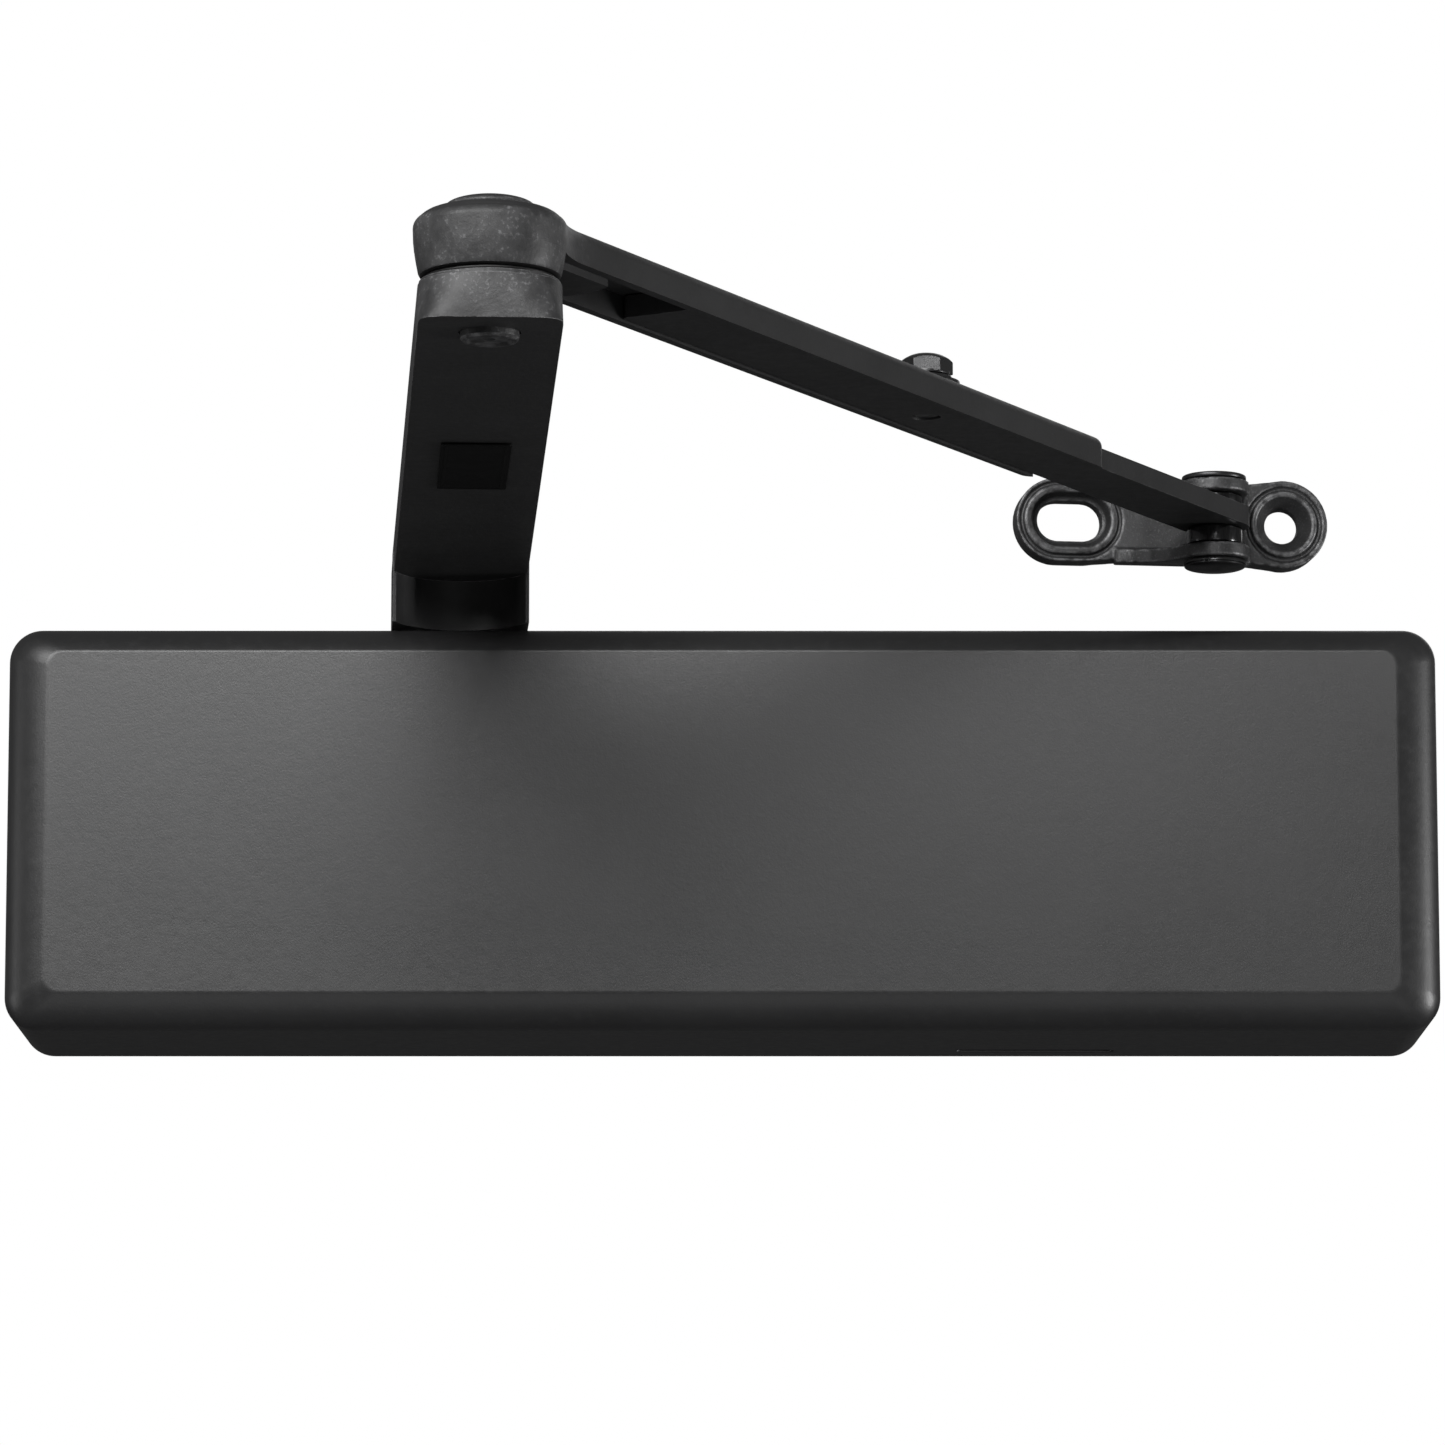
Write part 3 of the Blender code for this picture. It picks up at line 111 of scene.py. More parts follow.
# --------------------------------------------------------------------- node trees
class Tree:
    """Writes the nodes of one tree."""

    def __init__(self, tree):
        self.nodes = tree.nodes
        self.links = tree.links

    def add(self, kind, sockets, **settings):
        """A node with its settings, sockets fed by values or by other outputs."""
        node = self.nodes.new(kind)
        for key, value in settings.items():
            setattr(node, key, value)
        for key, value in sockets.items():
            if isinstance(value, bpy.types.NodeSocket):
                self.links.new(value, node.inputs[key])
            else:
                node.inputs[key].default_value = value
        return node

    def out(self, kind, sockets, **settings):
        """The first output of a new node."""
        return self.add(kind, sockets, **settings).outputs[0]

    def reckon(self, operation, first, second=0.0):
        """One step of arithmetic."""
        return self.out("ShaderNodeMath", {0: first, 1: second}, operation=operation)

    def times(self, first, second):
        """Product of two values."""
        return self.reckon("MULTIPLY", first, second)


# ------------------------------------------------------------------------ finishes
class Finish(Tree):
    """Writes the nodes of one material round its Principled shader."""

    def __init__(self, name, metallic=0.0, specular=0.5):
        self.made = bpy.data.materials.new(name)
        self.made.use_nodes = True
        super().__init__(self.made.node_tree)
        self.shader = self.nodes["Principled BSDF"]
        self.shader.inputs["Metallic"].default_value = metallic
        self.shader.inputs["Specular IOR Level"].default_value = specular
        self.place = self.nodes.new("ShaderNodeTexCoord").outputs["Object"]
        self.relief = None

    def stretched(self, scale, turn=(0.0, 0.0, 0.0)):
        """Object coordinates pulled out along one axis."""
        return self.out("ShaderNodeMapping", {"Vector": self.place, "Scale": scale,
                                              "Rotation": turn})

    def noise(self, size, detail=2.0, roughness=0.5, place=None):
        """Cloudy pattern whose patches are about size wide."""
        return self.out("ShaderNodeTexNoise", {
            "Vector": place or self.place, "Scale": 1.0 / size, "Detail": detail,
            "Roughness": roughness})

    def cells(self, size):
        """Distance to the nearest of many scattered points."""
        return self.out("ShaderNodeTexVoronoi", {"Vector": self.place, "Scale": 1.0 / size})

    def spread(self, value, low, high, start=0.0, end=1.0):
        """Remap a value between two limits."""
        return self.out("ShaderNodeMapRange", {
            "Value": value, "From Min": low, "From Max": high, "To Min": start, "To Max": end})

    def over(self, mask, below, above):
        """Lay a colour over another where a mask is high."""
        below, above = (colour if isinstance(colour, bpy.types.NodeSocket) else (*colour, 1.0)
                        for colour in (below, above))
        mix = self.add("ShaderNodeMix", {"Factor": mask, 6: below, 7: above}, data_type="RGBA")
        return mix.outputs[2]

    def edges(self):
        """The mark that eased edges carry; on the elbow pin's foot it marks a painted glint."""
        return self.add("ShaderNodeAttribute", {}, attribute_name=EASED_EDGE_AND_GLINT).outputs["Fac"]

    def bump(self, height, depth, strength=1.0):
        """Relief of a given depth on top of the relief already laid."""
        sockets = {"Height": height, "Distance": depth, "Strength": strength}
        if self.relief:
            sockets["Normal"] = self.relief
        self.relief = self.add("ShaderNodeBump", sockets).outputs["Normal"]

    def close(self, colour, roughness):
        """Join the patterns to the shader."""
        self.links.new(colour, self.shader.inputs["Base Color"])
        self.links.new(roughness, self.shader.inputs["Roughness"])
        if self.relief:
            self.links.new(self.relief, self.shader.inputs["Normal"])
        return self.made


def grey(value):
    """A neutral tone."""
    return (value, value, value * 1.02)


def moulded_black():
    """Moulded cover: spark-eroded grain, faint flow clouds and fine pale specks."""
    work = Finish("moulded_black", specular=0.62)
    grain = work.noise(0.42 * MM, 3.0, 0.6)
    flow = work.noise(34.0 * MM, 3.0, 0.55)
    mottle = work.noise(2.3 * MM, 3.0, 0.6)
    colour = work.over(work.spread(flow, 0.35, 0.65), grey(0.016), grey(0.020))
    speck = work.spread(work.cells(0.75 * MM), 0.16, 0.05)
    sparse = work.spread(work.noise(1.6 * MM), 0.54, 0.62)
    colour = work.over(work.times(work.times(speck, sparse), 0.30),
                       colour, grey(0.07))
    colour = work.over(work.spread(mottle, 0.56, 0.78, 0.0, 0.25), colour, grey(0.036))
    colour = work.over(work.times(work.edges(), 0.2), colour, grey(0.045))
    work.bump(mottle, 0.05 * MM, 0.5)
    work.bump(grain, 0.035 * MM, 0.7)
    rough = work.spread(work.reckon("ADD", mottle, work.times(flow, 0.5)), 0.5, 1.0,
                        0.33, 0.42)
    return work.close(colour, rough)


def arm_black():
    """Baked paint on forged arms: orange peel, nicks, rubbed paint at the elbow that on upright
    faces is also a painted light, and rubbed edges with a painted glint.
    """
    work = Finish("arm_black", specular=0.35)
    peel = work.noise(1.1 * MM, 2.0, 0.45)
    cloud = work.noise(22.0 * MM, 3.0)
    rub = work.noise(3.2 * MM, 5.0, 0.65)
    colour = work.over(work.spread(cloud, 0.3, 0.7), grey(0.018), grey(0.024))
    # Lighter forged skin near the elbow, on the upright faces only: rubbed paint, and a painted
    # light that keeps the lit sides lighter than the shaded undersides.
    axis = (ELBOW_AXIS.x, ELBOW_AXIS.y, 0.0)
    level = work.out("ShaderNodeVectorMath", {0: work.place, 1: (1.0, 1.0, 0.0)},
                     operation="MULTIPLY")
    away = work.add("ShaderNodeVectorMath", {0: level, 1: axis},
                    operation="DISTANCE").outputs["Value"]
    upright = work.add("ShaderNodeNewGeometry", {}).outputs["Normal"]
    upright = work.add("ShaderNodeSeparateXYZ", {0: upright}).outputs["Z"]
    upright = work.spread(work.reckon("ABSOLUTE", upright), 0.8, 0.5)
    rubbed_and_painted_light = work.times(work.spread(away, 26.0 * MM, 15.0 * MM), upright)
    skin = work.noise(0.8 * MM, 4.0, 0.65)
    patch = work.noise(6.5 * MM, 4.0, 0.6)
    forged = work.over(work.spread(patch, 0.35, 0.68), grey(0.026), grey(0.062))
    spot = work.times(work.spread(skin, 0.54, 0.68), work.spread(patch, 0.40, 0.62))
    forged = work.over(work.times(spot, 0.7), forged, grey(0.20))
    colour = work.over(rubbed_and_painted_light, colour, forged)
    worn = work.times(work.edges(), work.spread(rub, 0.42, 0.60))
    # Pale patches on the rubbed edges, stronger at the elbow: partly worn paint, partly a painted
    # glint.
    gleam = work.times(worn, work.spread(rubbed_and_painted_light, 0.0, 0.6, 0.4, 1.0))
    colour = work.over(gleam, colour, grey(0.16))
    scratch = work.noise(6.0 * MM, 6.0, 0.7, work.stretched((1.0, 0.12, 1.0), (0.0, 0.0, 0.5)))
    colour = work.over(work.spread(scratch, 0.66, 0.74, 0.0, 0.35), colour, grey(0.045))
    work.bump(peel, 0.05 * MM, 0.55)
    work.bump(work.times(skin, rubbed_and_painted_light), 0.10 * MM, 0.8)
    rough = work.spread(work.reckon("ADD", rub, work.times(worn, -0.5)), 0.2, 0.8,
                        0.40, 0.54)
    return work.close(colour, rough)


def shoe_black():
    """Shoe casting: sandy dark skin, brighter where the rims have been rubbed."""
    work = Finish("shoe_black", metallic=0.45)
    sand = work.noise(0.55 * MM, 4.0, 0.7)
    patch = work.noise(7.0 * MM, 3.0)
    colour = work.over(work.spread(patch, 0.35, 0.65), grey(0.036), grey(0.062))
    grains = work.spread(sand, 0.55, 0.72)
    colour = work.over(work.times(grains, 0.5), colour, grey(0.19))
    worn = work.times(work.edges(), work.spread(work.noise(1.8 * MM, 3.0), 0.38, 0.6))
    colour = work.over(work.times(worn, 0.6), colour, grey(0.26))
    work.bump(sand, 0.10 * MM, 0.8)
    work.bump(work.noise(2.0 * MM, 2.0), 0.10 * MM, 0.3)
    return work.close(colour, work.spread(sand, 0.3, 0.7, 0.50, 0.34))


def body_casting():
    """Die-cast closer body: silvery grey skin with flow marks and small pits."""
    work = Finish("body_casting", metallic=0.8)
    skin = work.noise(0.7 * MM, 4.0, 0.6)
    flow = work.noise(14.0 * MM, 4.0, 0.6, work.stretched((0.4, 1.0, 1.0)))
    colour = work.over(work.spread(flow, 0.35, 0.68), grey(0.16), grey(0.27))
    pit = work.spread(work.cells(1.7 * MM), 0.14, 0.04)
    colour = work.over(work.times(pit, 0.5), colour, grey(0.05))
    colour = work.over(work.times(work.edges(), 0.5), colour, grey(0.50))
    work.bump(skin, 0.12 * MM, 0.7)
    work.bump(work.reckon("SUBTRACT", 1.0, pit), 0.08 * MM, 0.5)
    return work.close(colour, work.spread(skin, 0.3, 0.7, 0.36, 0.54))


def machined(name, dark, light, direction, low, high, metallic=1.0):
    """Metal with fine tool marks along one direction."""
    work = Finish(name, metallic=metallic)
    marks = work.noise(0.22 * MM, 3.0, 0.6, work.stretched(direction))
    tarnish = work.noise(4.0 * MM, 4.0, 0.6)
    colour = work.over(work.spread(marks, 0.35, 0.65), dark, light)
    dull = tuple(0.55 * part for part in dark)
    colour = work.over(work.spread(tarnish, 0.52, 0.75, 0.0, 0.6), colour, dull)
    colour = work.over(work.times(work.edges(), 0.4), colour,
                       tuple(min(1.0, 1.5 * part) for part in light))
    work.bump(marks, 0.018 * MM, 0.6)
    return work.close(colour, work.spread(tarnish, 0.35, 0.7, low, high))


def seal_rubber():
    """Matt rubber with a dusty bloom."""
    work = Finish("seal_rubber", specular=0.3)
    bloom = work.noise(1.5 * MM, 4.0, 0.6)
    colour = work.over(work.spread(bloom, 0.4, 0.7), grey(0.008), grey(0.020))
    work.bump(work.noise(0.3 * MM, 2.0), 0.03 * MM, 0.6)
    return work.close(colour, work.spread(bloom, 0.3, 0.7, 0.7, 0.9))


def label_film():
    """Plain black label film: smooth, with a faint mesh in the print."""
    work = Finish("label_film", specular=0.12)
    weave = work.cells(0.5 * MM)
    wave = work.noise(9.0 * MM, 2.0)
    colour = work.over(work.spread(weave, 0.2, 0.6), grey(0.002), grey(0.004))
    work.bump(wave, 0.05 * MM, 0.3)
    return work.close(colour, work.spread(wave, 0.3, 0.7, 0.50, 0.62))


ROUND_MARKS = (1.0, 1.0, 0.08)
BAR_MARKS = (0.08, 1.0, 1.0)
MOULDED = moulded_black()
ARM_PAINT = arm_black()
SHOE_CAST = shoe_black()
CASTING = body_casting()
BRIGHT_STEEL = machined("bright_steel", grey(0.34), grey(0.55), (1.0, 1.0, 4.0), 0.20, 0.38)
DARK_STEEL = machined("dark_steel", grey(0.036), grey(0.066), (1.0, 1.0, 3.0), 0.26, 0.42, 0.75)
BLACK_OXIDE = machined("black_oxide", grey(0.005), grey(0.010), ROUND_MARKS, 0.45, 0.60, 0.3)
BUSH_STEEL = machined("bush_steel", grey(0.05), grey(0.11), ROUND_MARKS, 0.14, 0.26)
GROUND_STEEL = machined("ground_steel", grey(0.40), grey(0.60), BAR_MARKS, 0.16, 0.30)
SPRING_STEEL = machined("spring_steel", (0.13, 0.14, 0.17), (0.22, 0.23, 0.27), ROUND_MARKS,
                        0.28, 0.42)
BRASS = machined("valve_brass", (0.52, 0.36, 0.13), (0.72, 0.53, 0.22), ROUND_MARKS, 0.22, 0.36)
RUBBER = seal_rubber()
LABEL = label_film()


# ------------------------------------------------------------------- outline tools
def mm(*points):
    """Points given in millimetres."""
    return [(first * MM, second * MM) for first, second in points]


def arc(centre, radius, start, end, steps):
    """Points on an arc, angles in degrees."""
    points = []
    for step in range(steps + 1):
        angle = radians(start + (end - start) * step / steps)
        points.append((centre[0] + radius * cos(angle), centre[1] + radius * sin(angle)))
    return points


def circle(centre, radius, steps=72):
    """A full circle without a repeated point."""
    return arc(centre, radius, 0.0, 360.0, steps)[:-1]


def stadium(centre, length, width, steps=24):
    """A slot outline that lies along the first axis."""
    reach = (length - width) / 2
    right = arc((centre[0] + reach, centre[1]), width / 2, -90.0, 90.0, steps)
    left = arc((centre[0] - reach, centre[1]), width / 2, 90.0, 270.0, steps)
    return right + left


def cornered(low, high, radius):
    """A rectangle with rounded corners."""
    return softened([low, (high[0], low[1]), high, (low[0], high[1])], radius, 6)


def softened(points, radius, steps=4, closed=True):
    """The same outline with every real corner rounded."""
    soft = []
    count = len(points)
    for index, here in enumerate(points):
        if not closed and index in (0, count - 1):
            soft.append(here)
            continue
        corner = Vector(here)
        before = Vector(points[index - 1]) - corner
        after = Vector(points[(index + 1) % count]) - corner
        bend = pi - before.angle(after, pi)
        if bend < radians(12.0):
            soft.append(here)
            continue
        reach = min(radius * abs(sin(bend / 2) / cos(bend / 2)), 0.45 * before.length,
                    0.45 * after.length)
        first = corner + before.normalized() * reach
        last = corner + after.normalized() * reach
        for step in range(steps + 1):
            share = step / steps
            point = first.lerp(corner, share).lerp(corner.lerp(last, share), share)
            soft.append((point.x, point.y))
    return soft


# ------------------------------------------------------------------- mesh tools
def tidy(mesh, smooth=True):
    """Merge doubles, point the faces outwards and shade them smooth."""
    work = bmesh.new()
    work.from_mesh(mesh)
    bmesh.ops.remove_doubles(work, verts=work.verts, dist=0.000001)
    bmesh.ops.recalc_face_normals(work, faces=work.faces)
    for face in work.faces:
        face.smooth = smooth
    work.to_mesh(mesh)
    work.free()
    return mesh


def baked(made):
    """The evaluated object as a plain mesh; the object goes."""
    graph = bpy.context.evaluated_depsgraph_get()
    mesh = bpy.data.meshes.new_from_object(made.evaluated_get(graph))
    bpy.data.objects.remove(made, do_unlink=True)
    return mesh


def shown(name, data):
    """Link a new object for some data."""
    made = bpy.data.objects.new(name, data)
    bpy.context.scene.collection.objects.link(made)
    return made


def plate(outlines, low, high, place=None):
    """A flat outline with its holes, from height low to high, then placed."""
    curve = bpy.data.curves.new("plate", "CURVE")
    curve.dimensions = "2D"
    curve.fill_mode = "BOTH"
    curve.extrude = (high - low) / 2
    for outline in outlines:
        spline = curve.splines.new("POLY")
        spline.points.add(len(outline) - 1)
        for point, (across, along) in zip(spline.points, outline):
            point.co = (across, along, 0.0, 1.0)
        spline.use_cyclic_u = True
    mesh = tidy(baked(shown("plate", curve)))
    mesh.transform(Matrix.Translation((0.0, 0.0, (low + high) / 2)))
    if place:
        mesh.transform(place)
    return mesh


def block(low, high, place=None):
    """A box between two corners, used for cutting and joining."""
    outline = [(low[0], low[1]), (high[0], low[1]), (high[0], high[1]), (low[0], high[1])]
    return plate([outline], low[2], high[2], place)


def worked(work, name, place=None):
    """The mesh of a worked shape, tidied and placed."""
    mesh = bpy.data.meshes.new(name)
    work.to_mesh(mesh)
    work.free()
    tidy(mesh)
    if place:
        mesh.transform(place)
    return mesh


def lofted(rings, place=None, ends=(True, True)):
    """A skin over closed rings of points, with flat ends where asked."""
    work = bmesh.new()
    rows = [[work.verts.new(point) for point in ring] for ring in rings]
    count = len(rings[0])
    for here, there in zip(rows, rows[1:]):
        for index in range(count):
            after = (index + 1) % count
            work.faces.new((here[index], here[after], there[after], there[index]))
    if ends[0]:
        work.faces.new(list(reversed(rows[0])))
    if ends[1]:
        work.faces.new(rows[-1])
    return worked(work, "lofted", place)


def turned(profile, place=None, steps=96, closed=False):
    """A turned piece from (radius, height) points; open ends lie on the axis."""
    work = bmesh.new()
    columns = []
    for step in range(steps):
        angle = 2 * pi * step / steps
        columns.append([work.verts.new((r * cos(angle), r * sin(angle), h)) for r, h in profile])
    rows = len(profile) if closed else len(profile) - 1
    for step in range(steps):
        here = columns[step]
        there = columns[(step + 1) % steps]
        for row in range(rows):
            down = (row + 1) % len(profile)
            work.faces.new((here[row], here[down], there[down], there[row]))
    return worked(work, "turned", place)


def washer(inner, outer, low, high, ease, place=None, steps=96):
    """A flat ring with eased edges."""
    profile = softened([(inner, high), (outer, high), (outer, low), (inner, low)], ease)
    return turned(profile, place, steps, closed=True)


def rod_between(radius, low, high, ease=0.0, place=None, steps=96):
    """A round bar with eased ends."""
    profile = [(0.0, high), (radius, high), (radius, low), (0.0, low)]
    if ease:
        profile = softened(profile, ease, closed=False)
    return turned(profile, place, steps)


def laid(point, axis):
    """Placement that turns a piece built about +z to lie along x or y."""
    angle, about = {"X": (90.0, "Y"), "-X": (-90.0, "Y"), "-Y": (90.0, "X")}[axis]
    return Matrix.Translation(point) @ Matrix.Rotation(radians(angle), 4, about)


class Solid:
    """A piece made by joining and cutting, with its edges eased at the end."""

    def __init__(self, mesh):
        self.made = shown("solid", mesh)
        self.helpers = []

    def change(self, mesh, operation):
        """One joining, cutting or trimming step."""
        helper = shown("helper", mesh)
        self.helpers.append(helper)
        step = self.made.modifiers.new("step", "BOOLEAN")
        step.operation = operation
        step.solver = "EXACT"
        step.object = helper
        return self

    def join(self, mesh):
        """Add material."""
        return self.change(mesh, "UNION")

    def cut(self, mesh):
        """Take material away."""
        return self.change(mesh, "DIFFERENCE")

    def trim(self, mesh):
        """Keep only what both share."""
        return self.change(mesh, "INTERSECT")

    def mesh(self, ease=0.0, segments=3, angle=32.0):
        """The result: edges sharper than the angle are eased and marked."""
        raw = baked(self.made)
        for helper in self.helpers:
            bpy.data.objects.remove(helper, do_unlink=True)
        work = bmesh.new()
        work.from_mesh(raw)
        bmesh.ops.remove_doubles(work, verts=work.verts, dist=0.000004)
        bmesh.ops.dissolve_limit(work, angle_limit=radians(0.4), verts=work.verts,
                                 edges=work.edges)
        for face in work.faces:
            face.smooth = True
            face.material_index = 0
        work.to_mesh(raw)
        work.free()
        if not ease:
            raw.set_sharp_from_angle(angle=radians(angle))
            return raw
        raw.materials.clear()
        raw.materials.append(ARM_PAINT)
        raw.materials.append(RUBBER)
        made = shown("eased", raw)
        bevel = made.modifiers.new("ease", "BEVEL")
        bevel.width = ease
        bevel.segments = segments
        bevel.limit_method = "ANGLE"
        bevel.angle_limit = radians(angle)
        bevel.use_clamp_overlap = True
        bevel.miter_outer = "MITER_ARC"
        bevel.material = 1
        weigh = made.modifiers.new("weigh", "WEIGHTED_NORMAL")
        weigh.weight = 60
        weigh.keep_sharp = True
        mesh = baked(made)
        mark_edges_and_glints(mesh, "FACE", [float(face.material_index == 1) for face in mesh.polygons])
        for face in mesh.polygons:
            face.material_index = 0
        return mesh


def mark_edges_and_glints(mesh, domain, values):
    """Write the mark of eased edges and of painted glints, one value for each face or point."""
    mesh.attributes.new(EASED_EDGE_AND_GLINT, "FLOAT", domain).data.foreach_set("value", values)


def merged(*meshes):
    """Several meshes as one, without joining their walls."""
    work = bmesh.new()
    for mesh in meshes:
        work.from_mesh(mesh)
    mesh = bpy.data.meshes.new("merged")
    work.to_mesh(mesh)
    work.free()
    return mesh


def fit(name, mesh, look, node, sharp=0.0, extra=False):
    """A finished piece on its node's body; it stands for the node unless it is extra."""
    if sharp:
        mesh.set_sharp_from_angle(angle=radians(sharp))
    mesh.name = name
    mesh.materials.clear()
    mesh.materials.append(look)
    made = shown(name, mesh)
    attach(made, BODY_OF[node])
    if not extra:
        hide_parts(node)


# ----------------------------------------------------- shapes grown by node trees
class Growth(Tree):
    """Writes one Geometry Nodes tree with named sizes."""

    def __init__(self, name, sizes):
        self.tree = bpy.data.node_groups.new(name, "GeometryNodeTree")
        super().__init__(self.tree)
        face = self.tree.interface
        face.new_socket(name="Geometry", in_out="INPUT", socket_type="NodeSocketGeometry")
        self.sizes = {}
        for label, value in sizes.items():
            kind = {int: "NodeSocketInt", float: "NodeSocketFloat"}.get(type(value),
                                                                      "NodeSocketMaterial")
            socket = face.new_socket(name=label, in_out="INPUT", socket_type=kind)
            self.sizes[label] = (socket.identifier, value)
        face.new_socket(name="Geometry", in_out="OUTPUT", socket_type="NodeSocketGeometry")
        self.given = self.nodes.new("NodeGroupInput").outputs

    def grown(self, geometry, seed_mesh=None):
        """Realize, paint, run the tree once and return the plain mesh."""
        real = self.out("GeometryNodeRealizeInstances", {"Geometry": geometry})
        painted = self.out("GeometryNodeSetMaterial", {"Geometry": real,
                                                       "Material": self.given["Material"]})
        self.add("NodeGroupOutput", {0: painted})
        made = shown("grown", seed_mesh or bpy.data.meshes.new("seed"))
        step = made.modifiers.new("grow", "NODES")
        step.node_group = self.tree
        for identifier, value in self.sizes.values():
            step[identifier] = value
        return baked(made)


def coil(turns, radius, wire, length, closed_turns, look, per_turn=32, facets=12):
    """Wire wound about +x from 0 to length, its end turns closed up."""
    work = Growth("coil", {"Turns": float(turns), "Mean radius": radius, "Wire radius": wire,
                           "Length": length, "Closed turns": float(closed_turns),
                           "Steps": int(turns * per_turn) + 1, "Facets": facets,
                           "Material": look})
    given = work.given
    line = work.out("GeometryNodeCurvePrimitiveLine", {"End": (1.0, 0.0, 0.0)})
    fine = work.out("GeometryNodeResampleCurve", {"Curve": line, "Count": given["Steps"]})
    here = work.out("GeometryNodeInputPosition", {})
    share = work.out("ShaderNodeSeparateXYZ", {0: here})
    turn = work.times(share, given["Turns"])
    angle = work.times(turn, 2 * pi)
    pitch = work.times(given["Wire radius"], 2.1)
    shut = work.times(given["Closed turns"], pitch)
    open_length = work.reckon("SUBTRACT", given["Length"], work.times(shut, 2.0))
    shut_turns = given["Closed turns"]
    open_turns = work.reckon("SUBTRACT", given["Turns"], work.times(shut_turns, 2.0))
    climb = work.reckon("DIVIDE", open_length, open_turns)
    first = work.reckon("MINIMUM", turn, shut_turns)
    past = work.reckon("MAXIMUM", work.reckon("SUBTRACT", turn, shut_turns), 0.0)
    free = work.reckon("MINIMUM", past, open_turns)
    last_start = work.reckon("ADD", shut_turns, open_turns)
    last = work.reckon("MAXIMUM", work.reckon("SUBTRACT", turn, last_start), 0.0)
    ends = work.times(work.reckon("ADD", first, last), pitch)
    along = work.reckon("ADD", ends, work.times(free, climb))
    side = work.times(given["Mean radius"], work.reckon("COSINE", angle))
    up = work.times(given["Mean radius"], work.reckon("SINE", angle))
    spot = work.out("ShaderNodeCombineXYZ", {0: along, 1: side, 2: up})
    wound = work.out("GeometryNodeSetPosition", {"Geometry": fine, "Position": spot})
    section = work.out("GeometryNodeCurvePrimitiveCircle", {
        "Resolution": given["Facets"], "Radius": given["Wire radius"]})
    return tidy(work.grown(work.out("GeometryNodeCurveToMesh", {
        "Curve": wound, "Profile Curve": section, "Fill Caps": True})))


def ranked(rib, first, pitch, count, clear_of, clear_width, look):
    """One rib repeated along x, left out where it would meet another piece."""
    work = Growth("rank", {"First": first, "Pitch": pitch, "Count": count,
                           "Clear of": clear_of, "Clear width": clear_width, "Material": look})
    given = work.given
    line = work.out("GeometryNodeMeshLine", {
        "Count": given["Count"],
        "Start Location": work.out("ShaderNodeCombineXYZ", {0: given["First"]}),
        "Offset": work.out("ShaderNodeCombineXYZ", {0: given["Pitch"]})})
    here = work.out("GeometryNodeInputPosition", {})
    across = work.out("ShaderNodeSeparateXYZ", {0: here})
    off = work.reckon("ABSOLUTE", work.reckon("SUBTRACT", across, given["Clear of"]))
    near = work.out("FunctionNodeCompare", {0: off, 1: given["Clear width"]},
                    operation="LESS_THAN")
    kept = work.out("GeometryNodeDeleteGeometry", {"Geometry": line, "Selection": near})
    copies = work.out("GeometryNodeInstanceOnPoints", {"Points": kept,
                                                       "Instance": given["Geometry"]})
    return tidy(work.grown(copies, rib), smooth=False)


def threaded(radius, low, high, pitch, look, steps=72):
    """A round shank about +z with a thread wound on it."""
    turns = (high - low - 2 * pitch) / pitch
    ridge = coil(turns, radius - 0.30 * pitch, 0.30 * pitch, high - low - 2 * pitch, 0.0, look,
                 per_turn=28, facets=6)
    ridge.transform(Matrix.Translation((0.0, 0.0, low + pitch)) @ Matrix.Rotation(
        radians(-90.0), 4, "Y"))
    core = rod_between(radius - 0.25 * pitch, low, high, 0.4 * pitch, steps=steps)
    return merged(core, ridge)


# ------------------------------------------------------------------------- cover
UPRIGHT = Matrix.Rotation(radians(90.0), 4, "X")
COVER_LOW, COVER_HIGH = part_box("cover")
COVER_WALL = 2.5 * MM
COVER_END_ROUNDING = 10.0 * MM
COVER_TOP_ROUNDING = 6.3 * MM
COVER_BOTTOM_ROUNDING = 8.4 * MM
COVER_FRONT_ROUNDING_DEPTH = 8.0 * MM
COVER_CORNER_RADIUS = 7.6 * MM
COVER_FRONT_CORNER = 3.3 * MM
COVER_FRONT_TURN = 62.0
NOTCH_RADIUS = 15.0 * MM
CATCH_SLOT_LOW = (55.0 * MM, -13.3 * MM)
CATCH_SLOT_HIGH = (91.6 * MM, -8.5 * MM)
RIBS = 15
RIB_FIRST = -148.0 * MM
RIB_PITCH = 21.0 * MM
RIB_CLEARANCE = 24.0 * MM


def cover_ring(share, depth):
    """Rounded outline at a depth; the share goes from the sides to the front face."""
    radius = COVER_CORNER_RADIUS + (COVER_FRONT_CORNER - COVER_CORNER_RADIUS) * share
    across = COVER_HIGH.x - COVER_END_ROUNDING * share - radius
    top = COVER_HIGH.z - COVER_TOP_ROUNDING * share - radius
    bottom = COVER_LOW.z + COVER_BOTTOM_ROUNDING * share + radius
    corners = ((across, top, 0.0), (-across, top, 90.0), (-across, bottom, 180.0),
               (across, bottom, 270.0))
    ring = []
    for x, z, start in corners:
        ring += arc((x, z), radius, start, start + 90.0, 14)
    return [(x, depth, z) for x, z in ring]


def cover_skin():
    """Outer skin: open towards the door, rounded all round its front face."""
    rings = [cover_ring(0.0, COVER_HIGH.y)]
    whole = radians(COVER_FRONT_TURN)
    for step in range(17):
        turn = whole * step / 16
        share = (1.0 - cos(turn)) / (1.0 - cos(whole))
        depth = COVER_FRONT_ROUNDING_DEPTH * (1.0 - sin(turn) / sin(whole))
        rings.append(cover_ring(share, COVER_LOW.y + depth))
    return lofted(rings, ends=(False, True))


